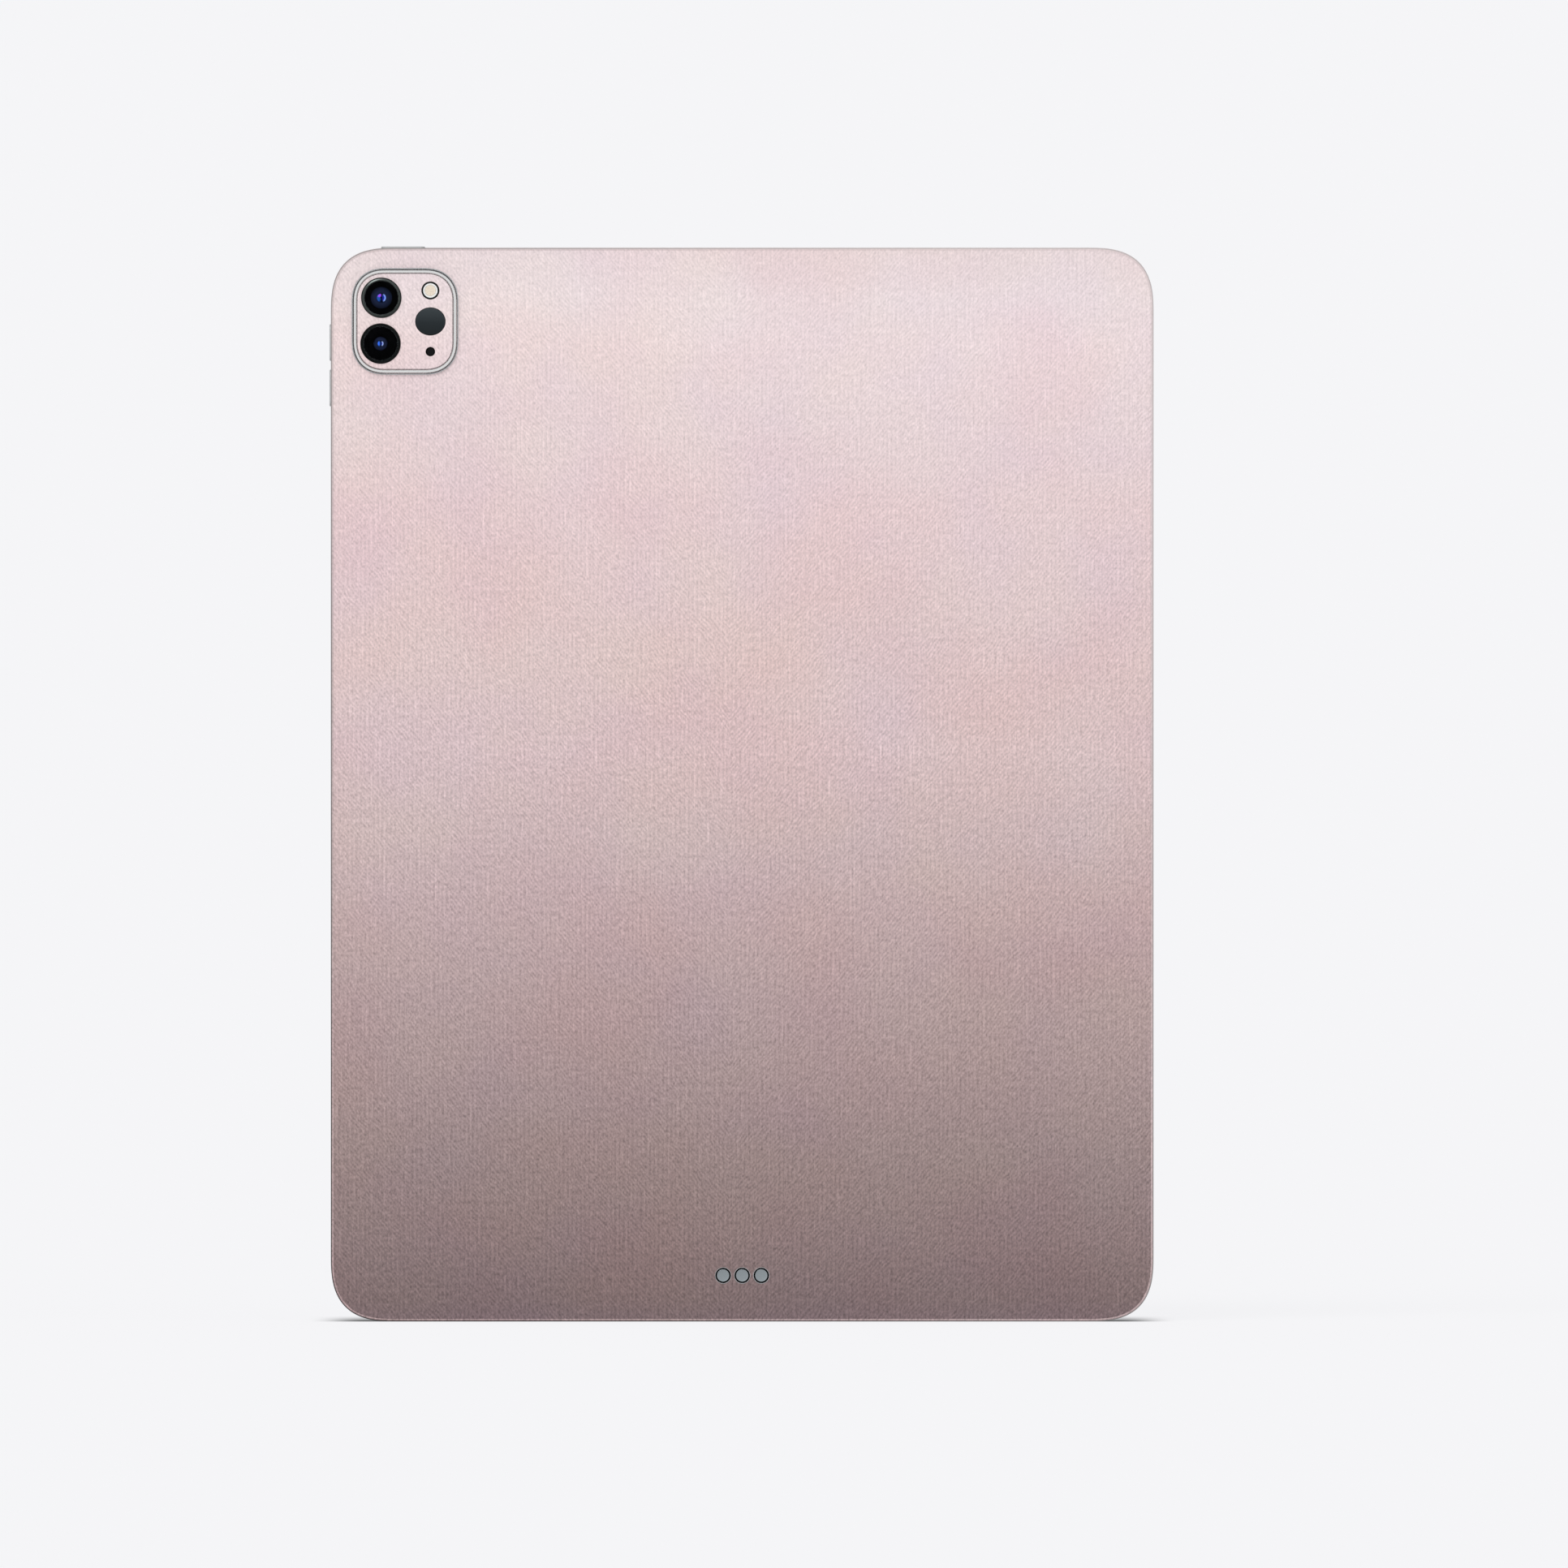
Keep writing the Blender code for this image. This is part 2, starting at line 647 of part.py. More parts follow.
def meets(opening, side):
    """Whether an opening lies on the named side of the slab."""
    place_at = opening.matrix_world.translation / MM
    if side == "left":
        return place_at.x < -HALF_WIDTH + 2.0
    if side == "right":
        return place_at.x > HALF_WIDTH - 2.0
    if side == "top":
        return place_at.z > TOP_Z - 2.0
    return place_at.z < FLOOR_GAP + 2.0


def make_back_film():
    """The printed sheet on the back, with the camera and contact openings."""
    low = FILM_BACK_Y
    film = slab(
        "back_film",
        body_outline(EDGE_CHAMFER + 0.15),
        low,
        low + FILM,
        FILM_PRINT,
        BODY_AT,
    )
    window = camera_outline(-FILM_CLEARANCE)
    hole = COLLAR_RADIUS + BOND + PART_CLEARANCE
    holes = [
        rod(f"{name}_film", hole, low - 1, low + 1, (x, CONTACT_Z)) for name, x in CONTACTS.items()
    ]
    cut(film, slab("camera_window", window, low - 1, low + 1, at=CAMERA_AT), *holes)


# ---------------------------------------------------------------- camera island

def island(at):
    """The place of a camera piece that is given from the middle of the island."""
    return CAMERA_X + at[0], CAMERA_Z + at[1]


def make_camera_frame():
    """The trim ring with its inner flange, the cover plate, and the film on the plate."""
    ring = slab(
        "camera_trim_ring", camera_outline(0.0), RING_Y, FLANGE_Y, ALUMINIUM, CAMERA_AT
    )
    soften(ring, 0.25)
    flange = camera_outline(-CAMERA_FLANGE)
    join(ring, slab("camera_flange", flange, FLANGE_Y, FLANGE_TOP_Y, at=CAMERA_AT))
    seat = camera_outline(CAMERA_RING)
    through = camera_outline(CAMERA_RING + CAMERA_LEDGE)
    cut(
        ring,
        slab("camera_seat", seat, RING_Y - 1, COVER_BACK_Y + BOND, at=CAMERA_AT),
        slab("camera_through", through, RING_Y, FLOOR_Y + 2, at=CAMERA_AT),
    )
    plate = slab(
        "camera_cover_plate",
        camera_outline(CAMERA_RING + PART_CLEARANCE),
        COVER_Y,
        COVER_BACK_Y,
        BLACK_PLASTIC,
        CAMERA_AT,
    )
    film = slab(
        "camera_film",
        camera_outline(CAMERA_RING + 2 * PART_CLEARANCE),
        CAMERA_FILM_Y,
        CAMERA_FILM_Y + FILM,
        FILM_PRINT,
        CAMERA_AT,
    )
    round_holes = [
        ("wide", WIDE_LENS_AT, LENS_SHANK, LENS_RADIUS),
        ("ultrawide", ULTRAWIDE_LENS_AT, LENS_SHANK, LENS_RADIUS),
        ("flash", FLASH_AT, FLASH_RADIUS, FLASH_RADIUS),
        ("microphone", MICROPHONE_AT, MICROPHONE_RADIUS, MICROPHONE_RADIUS),
    ]
    outer = COVER_Y - 1
    window = ellipse_outline(*[radius + PART_CLEARANCE for radius in LIDAR_RADII])
    opening = slab("lidar_opening", window, outer, COVER_BACK_Y + 1, at=island(LIDAR_AT))
    plate_holes = [opening]
    film_holes = [opening]
    for name, at, plate_radius, film_radius in round_holes:
        hole = plate_radius + PART_CLEARANCE
        plate_holes.append(
            rod(f"{name}_plate_hole", hole, outer, COVER_BACK_Y + 1, island(at))
        )
        hole = film_radius + PART_CLEARANCE
        film_holes.append(
            rod(f"{name}_film_hole", hole, outer, COVER_BACK_Y, island(at), sides=32)
        )
    cut(plate, *plate_holes)
    cut(film, *film_holes)


def make_lens(name, at):
    """A lens ring, the clear cover seated in it, and the camera module behind."""
    x, z = island(at)
    head = COVER_Y - BOND
    foot = COVER_BACK_Y
    seat = LENS_Y + 0.65
    profile = [
        (LENS_RADIUS, -LENS_Y - 0.15),
        (LENS_RADIUS, -head),
        (LENS_SHANK, -head),
        (LENS_SHANK, -foot),
        (LENS_APERTURE, -foot),
        (LENS_APERTURE, -seat),
        (LENS_COVER_RADIUS + BOND, -seat),
        (LENS_COVER_RADIUS + BOND, -LENS_Y),
        (LENS_RADIUS - 0.15, -LENS_Y),
    ]
    turned(f"{name}_lens_ring", profile, (x, z), ALUMINIUM)
    rod(
        f"{name}_lens_cover",
        LENS_COVER_RADIUS,
        LENS_Y + 0.15,
        seat - BOND,
        (x, z),
        MATERIALS["lens_glass"],
        sides=32,
    )
    make_module(f"{name}_camera_module", (x, z), 3.3, seat + BOND, (LENS_MODULE, LENS_MODULE), 0.1)


def make_module(name, at, radius, tip, base, clear):
    """A module: a square base in the tray, and a barrel that rises into the island."""
    base_y = (FLANGE_TOP_Y + BOND, ROOM_Y - clear)
    module = box(
        name,
        (at[0], sum(base_y) / 2, at[1]),
        (base[0], base_y[1] - base_y[0], base[1]),
        BLACK_PLASTIC,
    )
    join(module, rod(f"{name}_barrel", radius, tip, base_y[0] + 0.2, at))


def make_camera_parts():
    """Everything that looks out of the camera island."""
    make_lens("wide", WIDE_LENS_AT)
    make_lens("ultrawide", ULTRAWIDE_LENS_AT)
    inner = FLASH_RADIUS - FLASH_WALL
    profile = [
        (FLASH_RADIUS, -CAMERA_FILM_Y + 0.1),
        (FLASH_RADIUS, -COVER_BACK_Y),
        (inner, -COVER_BACK_Y),
        (inner, -CAMERA_FILM_Y + 0.1),
    ]
    turned("flash_bezel", profile, island(FLASH_AT), BLACK_PLASTIC)
    rod(
        "flash_lens",
        inner - BOND,
        CAMERA_FILM_Y + 0.05,
        COVER_BACK_Y - 0.1,
        island(FLASH_AT),
        MATERIALS["pale_plastic"],
    )
    make_module("flash_module", island(FLASH_AT), 1.5, COVER_BACK_Y, (4.0, 3.4), 0.8)
    slab(
        "lidar_window",
        ellipse_outline(*LIDAR_RADII),
        CAMERA_FILM_Y + 0.15,
        COVER_BACK_Y - 0.1,
        MATERIALS["lens_glass"],
        island(LIDAR_AT),
    )
    make_module("lidar_module", island(LIDAR_AT), 2.8, COVER_BACK_Y, (7.8, 7.4), 0.4)
    rod(
        "rear_microphone",
        MICROPHONE_RADIUS,
        CAMERA_FILM_Y + 0.4,
        FLOOR_Y + 1.4,
        island(MICROPHONE_AT),
        BLACK_PLASTIC,
    )


# ---------------------------------------------------------------- buttons

def make_button(name, frame, length):
    """A button cap on a flange with a stub, and the switch that the stub presses."""
    axis = bpy.data.objects.new(f"{name}_button_axis", None)
    axis.matrix_world = frame
    PARTS.objects.link(axis)
    shoulder = -SIDE_WALL / 2 - BOND
    flange_foot = shoulder - 0.8
    stub_foot = -SIDE_WALL - 0.3
    cap = slab(
        f"{name}_button",
        slot_outline(length, BUTTON_WIDTH),
        flange_foot,
        BUTTON_PROUD,
        ALUMINIUM,
        axis=ALONG_Z,
    )
    soften(cap, 0.2)
    flange = slot_outline(length + 2 * BUTTON_FLANGE, BUTTON_WIDTH - BOND)
    helpers = [
        slab(f"{name}_flange", flange, flange_foot, shoulder, axis=ALONG_Z),
        rod(f"{name}_stub", 0.8, stub_foot, flange_foot + 0.3, (0.0, 0.0), axis=ALONG_Z, sides=12),
    ]
    join(cap, *helpers)
    for item in [cap, *helpers]:
        item.parent = axis
    dome_top = stub_foot - BUTTON_TRAVEL - BOND
    switch = box(
        f"{name}_switch",
        (0.0, 0.0, dome_top - 0.6),
        (length * 0.7, 2 * SWITCH_HALF, 0.8),
        STEEL,
        frame=frame,
    )
    dome = rod(
        f"{name}_dome",
        SWITCH_HALF * 0.8,
        dome_top - 0.5,
        dome_top,
        (0.0, 0.0),
        axis=ALONG_Z,
        sides=16,
        frame=frame,
    )
    join(switch, dome)


# ---------------------------------------------------------------- edge parts

def make_charger():
    """The charging window on the left edge, and the coil behind it."""
    slab(
        "pencil_charging_window",
        slot_outline(CHARGER_LENGTH, CHARGER_WIDTH),
        -CHARGER_WINDOW,
        0.0,
        MATERIALS["pale_plastic"],
        axis=ALONG_Z,
        frame=CHARGER_FRAME,
    )
    slab(
        "pencil_charging_coil",
        slot_outline(CHARGER_LENGTH - 2.0, CHARGER_WIDTH - 0.6),
        -CHARGER_WINDOW - BOND - 2.6,
        -CHARGER_WINDOW - BOND,
        MATERIALS["graphite"],
        axis=ALONG_Z,
        frame=CHARGER_FRAME,
    )


def make_port():
    """The port's steel tube, closed at its inner end, and the tongue inside it."""
    mouth = -USB_MOUTH
    tube = slab(
        "usb_c_tube",
        slot_outline(USB_LENGTH, USB_WIDTH),
        mouth - USB_DEPTH,
        mouth,
        STEEL,
        axis=ALONG_Z,
        frame=USB_FRAME,
    )
    hollow = slot_outline(USB_LENGTH - 2 * USB_WALL, USB_WIDTH - 2 * USB_WALL)
    inner_end = mouth - USB_DEPTH + 0.4
    cut(tube, slab("usb_hollow", hollow, inner_end, 1.0, axis=ALONG_Z, frame=USB_FRAME))
    block = slot_outline(USB_LENGTH - 2 * USB_WALL - 2 * BOND, USB_WIDTH - 2 * USB_WALL - 2 * BOND)
    tongue = slab(
        "usb_c_tongue",
        block,
        inner_end + BOND,
        inner_end + BOND + 1.4,
        BLACK_PLASTIC,
        axis=ALONG_Z,
        frame=USB_FRAME,
    )
    blade = (inner_end + 1.0, mouth - 0.9)
    join(
        tongue,
        box(
            "usb_blade",
            (0.0, 0.0, sum(blade) / 2),
            (6.7, 0.7, blade[1] - blade[0]),
            frame=USB_FRAME,
        ),
    )


def make_speakers():
    """Four sealed speaker boxes, with a spout towards their row of holes."""
    low = FLOOR_Y + BOND - EDGE_MIDDLE
    high = ROOM_Y - BOND - EDGE_MIDDLE
    inner = -SIDE_WALL - 0.2
    for name, frame in SPEAKERS.items():
        box(
            f"speaker_{name}",
            (0.0, (low + high) / 2, inner - SPEAKER_HEIGHT / 2),
            (SPEAKER_LENGTH, high - low, SPEAKER_HEIGHT),
            BLACK_PLASTIC,
            frame=frame,
        )


def make_contacts():
    """Three flat contacts in one insulating carrier with a collar round each."""
    carrier = block(
        "contact_carrier",
        (-CONTACT_PITCH - 3.4, FLOOR_Y + BOND, CONTACT_Z - 2.6),
        (CONTACT_PITCH + 3.4, FLOOR_Y + 1.0, CONTACT_Z + 2.6),
        BLACK_PLASTIC,
    )
    collars = []
    bores = []
    for name, x in CONTACTS.items():
        at = (x, CONTACT_Z)
        bore = CONTACT_RADIUS + BOND
        collars.append(rod(f"{name}_collar", COLLAR_RADIUS, BACK_Y - 0.1, FLOOR_Y + 0.5, at))
        bores.append(rod(f"{name}_bore", bore, BACK_Y - 1, FLOOR_Y + 2, at))
        metal = MATERIALS["contact_metal"]
        rod(name, CONTACT_RADIUS, BACK_Y - 0.15, FLOOR_Y + 1.3, at, metal)
    join(carrier, *collars)
    cut(carrier, *bores)


# ---------------------------------------------------------------- inside

def make_batteries():
    """Two flat cells, one each side of the board."""
    low = FLOOR_Y + 0.1
    high = ROOM_Y - 0.3
    top = TOP_Z - BATTERY_TOP_CLEAR
    outer = HALF_WIDTH - SIDE_WALL - MAGNET_WIDTH - 1.6
    for name, side in (("battery_left", -1), ("battery_right", 1)):
        ends = sorted((side * BATTERY_MIDDLE_GAP / 2, side * outer))
        block(
            name,
            (ends[0], low, BATTERY_BOTTOM),
            (ends[1], high, top),
            MATERIALS["battery_pouch"],
        )


def make_board():
    """The main board down the middle, its shield cans and the screws that hold it."""
    low = FLOOR_Y + 0.3
    high = low + BOARD
    top = TOP_Z - BOARD_TOP_CLEAR
    half = BOARD_WIDTH / 2
    board = block(
        "logic_board", (-half, low, BOARD_BOTTOM), (half, high, top), MATERIALS["circuit_board"]
    )
    lid = ROOM_Y - 0.4
    first = BOARD_BOTTOM + 10.0
    last = top - 14.0
    middle = (first + last) / 2
    for name, start, end in (
        ("wireless_shield", first, middle - 1.0),
        ("processor_shield", middle + 1.0, last),
    ):
        block(name, (-half + 1.5, high + BOND, start), (half - 1.5, lid, end), STEEL)
    holes = []
    clear = SCREW_SHANK + PART_CLEARANCE
    for name, at in SCREW_PLACES.items():
        holes.append(rod(f"{name}_hole", clear, low - 1, high + 1, at, sides=12))
        screw = rod(name, SCREW_HEAD, high + BOND, high + 0.5, at, STEEL, sides=16)
        tip = THREAD_Y + BOND
        join(screw, rod(f"{name}_shank", SCREW_SHANK, tip, high + 0.3, at, sides=12))
    cut(board, *holes)


def make_ribbons():
    """Flat flexible cables from the screen and the cameras to the board."""
    thick = 0.2
    board_top = FLOOR_Y + 0.3 + BOARD
    start = BATTERY_BOTTOM + 2.0
    under = ROOM_Y - BOND
    over = board_top + 0.35
    path = [
        (under, start),
        (under, BOARD_BOTTOM - 12.0),
        (over, BOARD_BOTTOM - 3.0),
        (over, BOARD_BOTTOM + 7.0),
        (over - thick, BOARD_BOTTOM + 7.0),
        (over - thick, BOARD_BOTTOM - 3.2),
        (under - thick, BOARD_BOTTOM - 12.2),
        (under - thick, start),
    ]
    slab("display_flex", path, -7.0, 7.0, RIBBON, axis=ALONG_X)
    module_x, module_z = island(ULTRAWIDE_LENS_AT)
    low_edge = TOP_Z - BATTERY_TOP_CLEAR + 2.0
    high_edge = low_edge + 6.0
    foot = module_z - LENS_MODULE / 2 - PART_CLEARANCE
    path = [
        (module_x - 4.0, low_edge),
        (-BOARD_WIDTH / 2 + 6.0, low_edge),
        (-BOARD_WIDTH / 2 + 6.0, high_edge),
        (module_x + 4.0, high_edge),
        (module_x + 4.0, foot),
        (module_x - 4.0, foot),
    ]
    slab("camera_flex", path, board_top + 0.2, board_top + 0.2 + thick, RIBBON)


def make_magnets_and_antenna():
    """Bars of accessory magnets along both long sides, and the aerial at the top."""
    low = FLOOR_Y + 0.1
    high = ROOM_Y - 0.4
    outer = HALF_WIDTH - SIDE_WALL - 0.5
    past_coil = CHARGER_LENGTH / 2 + 6.0
    reach = BODY_HEIGHT / 2 - 48.0
    bars = {
        "magnets_left_lower": (-1, -reach, -past_coil),
        "magnets_left_upper": (-1, past_coil, reach),
        "magnets_right": (1, -reach, reach),
    }
    for name, (side, first, last) in bars.items():
        ends = sorted((side * outer, side * (outer - MAGNET_WIDTH)))
        block(name, (ends[0], low, MIDDLE_Z + first), (ends[1], high, MIDDLE_Z + last), STEEL)
    corner = HALF_WIDTH - SIDE_WALL - 6.0
    block(
        "wifi_antenna", (corner - 26.0, low, TOP_Z - 22.0), (corner, low + 0.4, TOP_Z - 9.0), RIBBON
    )


make_housing()
make_screen()
make_front_sensors()
make_edge_films()
make_back_film()
make_camera_frame()
make_camera_parts()
for button_name, (button_frame, button_length) in BUTTONS.items():
    make_button(button_name, button_frame, button_length)
make_charger()
make_port()
make_speakers()
make_contacts()
make_batteries()
make_board()
make_ribbons()
make_magnets_and_antenna()
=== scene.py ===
"""Looks of a 12.9-inch class tablet computer with a printed linen film on its back and edges.

The tablet stands upright on its bottom edge, with its back towards -Y and its screen towards +Y.
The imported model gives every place. Each sub-assembly below is a class that builds its pieces in
metres, in the frame of that model, and dresses them in the finishes that come first. Lengths are
written in millimetres and turned to metres where a mesh is made.
"""

import json
import logging
import math
from collections.abc import Callable, Iterable, Sequence
from dataclasses import dataclass
from enum import Enum
from typing import Any

import bmesh
import bpy
from bpy.types import Material, Node, NodeSocket, NodeTree, Object
from mathutils import Matrix, Vector

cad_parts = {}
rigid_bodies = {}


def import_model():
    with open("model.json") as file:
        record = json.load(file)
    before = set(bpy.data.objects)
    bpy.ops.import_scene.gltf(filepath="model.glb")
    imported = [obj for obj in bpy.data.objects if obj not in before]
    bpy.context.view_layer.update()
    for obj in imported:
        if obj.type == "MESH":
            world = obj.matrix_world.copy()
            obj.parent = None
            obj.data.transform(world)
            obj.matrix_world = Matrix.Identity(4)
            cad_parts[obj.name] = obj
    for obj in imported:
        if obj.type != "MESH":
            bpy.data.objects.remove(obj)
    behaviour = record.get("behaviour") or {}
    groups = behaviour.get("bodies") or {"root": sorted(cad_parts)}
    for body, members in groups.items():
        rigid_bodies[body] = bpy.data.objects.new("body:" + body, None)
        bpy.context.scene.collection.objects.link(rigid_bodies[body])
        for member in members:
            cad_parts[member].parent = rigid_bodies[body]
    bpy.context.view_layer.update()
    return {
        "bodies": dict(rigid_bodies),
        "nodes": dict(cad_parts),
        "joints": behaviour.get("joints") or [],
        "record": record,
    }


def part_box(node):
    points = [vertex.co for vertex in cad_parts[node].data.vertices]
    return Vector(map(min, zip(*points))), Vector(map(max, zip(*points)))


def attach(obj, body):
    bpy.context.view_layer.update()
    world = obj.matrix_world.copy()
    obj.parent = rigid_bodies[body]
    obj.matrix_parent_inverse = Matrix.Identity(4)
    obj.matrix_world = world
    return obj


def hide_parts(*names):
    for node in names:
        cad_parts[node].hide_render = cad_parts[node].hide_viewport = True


MM = 0.001
LOG = logging.getLogger("tablet")

Outline = list[tuple[float, float]]


class Way(Enum):
    """How one shape is combined with others."""

    CUT = "DIFFERENCE"
    JOIN = "UNION"


# ------------------------------------------------------------------ nodes


def linear(code: str) -> tuple[float, float, float, float]:
    """Turns an sRGB hex colour to a linear one.

    Args:
        code: The colour as "#rrggbb".

    Returns:
        Red, green, blue and alpha, which is 1.
    """
    parts = [int(code[place : place + 2], 16) / 255 for place in (1, 3, 5)]
    red, green, blue = [
        part / 12.92 if part <= 0.04045 else ((part + 0.055) / 1.055) ** 2.4
        for part in parts
    ]
    return red, green, blue, 1.0


def add(
    tree: NodeTree, kind: str, *inputs: Any, named: dict[str, Any] | None = None, **settings: Any
) -> Node:
    """Adds a node to a tree, with its settings and links.

    Args:
        tree: The tree that the node joins.
        kind: The node's type name, less ShaderNode in front. A space and its operation may follow.
        inputs: What goes into its sockets in order: a socket, a node, a constant, or None.
        named: The same for sockets that are given by name.
        settings: Attributes of the node itself.

    Returns:
        The new node. Given as an input elsewhere, it stands for its first live output.
    """
    kind, _, operation = kind.partition(" ")
    node = tree.nodes.new(kind if "Node" in kind else f"ShaderNode{kind}")
    if operation:
        node.operation = operation
    for key, value in settings.items():
        setattr(node, key, value)
    pairs = [(node.inputs[place], value) for place, value in enumerate(inputs)]
    pairs += [(node.inputs[key], value) for key, value in (named or {}).items()]
    for socket, value in pairs:
        if value is None:
            continue
        if isinstance(value, Node):
            value = next(output for output in value.outputs if output.enabled)
        if isinstance(value, NodeSocket):
            tree.links.new(value, socket)
        else:
            socket.default_value = value
    return node


def ramp(node: Node, stops: Sequence[tuple[float, str]]) -> Node:
    """Gives a colour ramp its stops.

    Args:
        node: The colour ramp node.
        stops: Places from 0 to 1 with their hex colours.

    Returns:
        The same node.
    """
    elements = node.color_ramp.elements
    for place, (position, code) in enumerate(stops):
        element = elements[place] if place < 2 else elements.new(position)
        element.position = position
        element.color = linear(code)
    return node


# ------------------------------------------------------------------ finishes


@dataclass(frozen=True)
class Finish:
    """A procedural finish, made once and shared by every piece that wears it.

    Attributes:
        name: The real material and how its surface was made.
        colour: Its main colour, as sRGB hex.
        roughness: Of the shader.
        metallic: Of the shader.
        specular: Of the shader. 0.5 is an uncoated surface, and less is one that is coated
            or blackened against glare.
    """

    name: str = "plain"
    colour: str = "#808080"
    roughness: float = 0.5
    metallic: float = 0.0
    specular: float = 0.5

    def material(self) -> Material:
        """The finish as a material.

        Returns:
            The material of this name, which is painted at the first call.
        """
        found = bpy.data.materials.get(self.name)
        if found:
            return found
        made = bpy.data.materials.new(self.name)
        made.use_nodes = True
        shader = made.node_tree.nodes["Principled BSDF"]
        shader.inputs["Base Color"].default_value = linear(self.colour)
        shader.inputs["Roughness"].default_value = self.roughness
        shader.inputs["Metallic"].default_value = self.metallic
        shader.inputs["Specular IOR Level"].default_value = self.specular
        made.diffuse_color = linear(self.colour)
        self.paint(made.node_tree, shader)
        return made

    def paint(self, tree: NodeTree, shader: Node) -> None:
        """Adds the pattern of this finish to its shader."""

    def place(self, tree: NodeTree) -> NodeSocket:
        """The object coordinates of the point that is shaded."""
        return add(tree, "TexCoord").outputs["Object"]


@dataclass(frozen=True)
class GrainedFinish(Finish):
    """A finish with a fine random grain in its colour, roughness and relief.

    Attributes:
        grain: Size of one grain in millimetres.
        tone: How far the grain lightens and darkens the colour, as a share.
        gloss: How far the roughness swings.
        relief: Height of the grain in millimetres.
    """

    grain: float = 0.3
    tone: float = 0.06
    gloss: float = 0.06
    relief: float = 0.004

    def paint(self, tree: NodeTree, shader: Node) -> None:
        """Adds the grain, and a broader drift of tone over it."""
        place = self.place(tree)
        fine = add(
            tree, "TexNoise", named={"Vector": place, "Scale": 1 / (self.grain * MM), "Detail": 2.0}
        )
        broad = add(tree, "TexNoise", named={"Vector": place, "Scale": 40.0, "Detail": 1.0})
        mixed = add(tree, "Math ADD", fine, broad)
        tone = add(tree, "MapRange", mixed, 0.6, 1.4, 1.0 - self.tone, 1.0 + self.tone)
        colour = add(tree, "VectorMath MULTIPLY", linear(self.colour)[:3], tone)
        tree.links.new(colour.outputs[0], shader.inputs["Base Color"])
        gloss = add(
            tree, "MapRange", fine, 0.3, 0.7, max(self.roughness - self.gloss, 0.02),
            self.roughness + self.gloss
        )
        tree.links.new(gloss.outputs[0], shader.inputs["Roughness"])
        bump = add(
            tree, "Bump", named={"Strength": 0.6, "Distance": self.relief * MM, "Height": fine}
        )
        tree.links.new(bump.outputs[0], shader.inputs["Normal"])


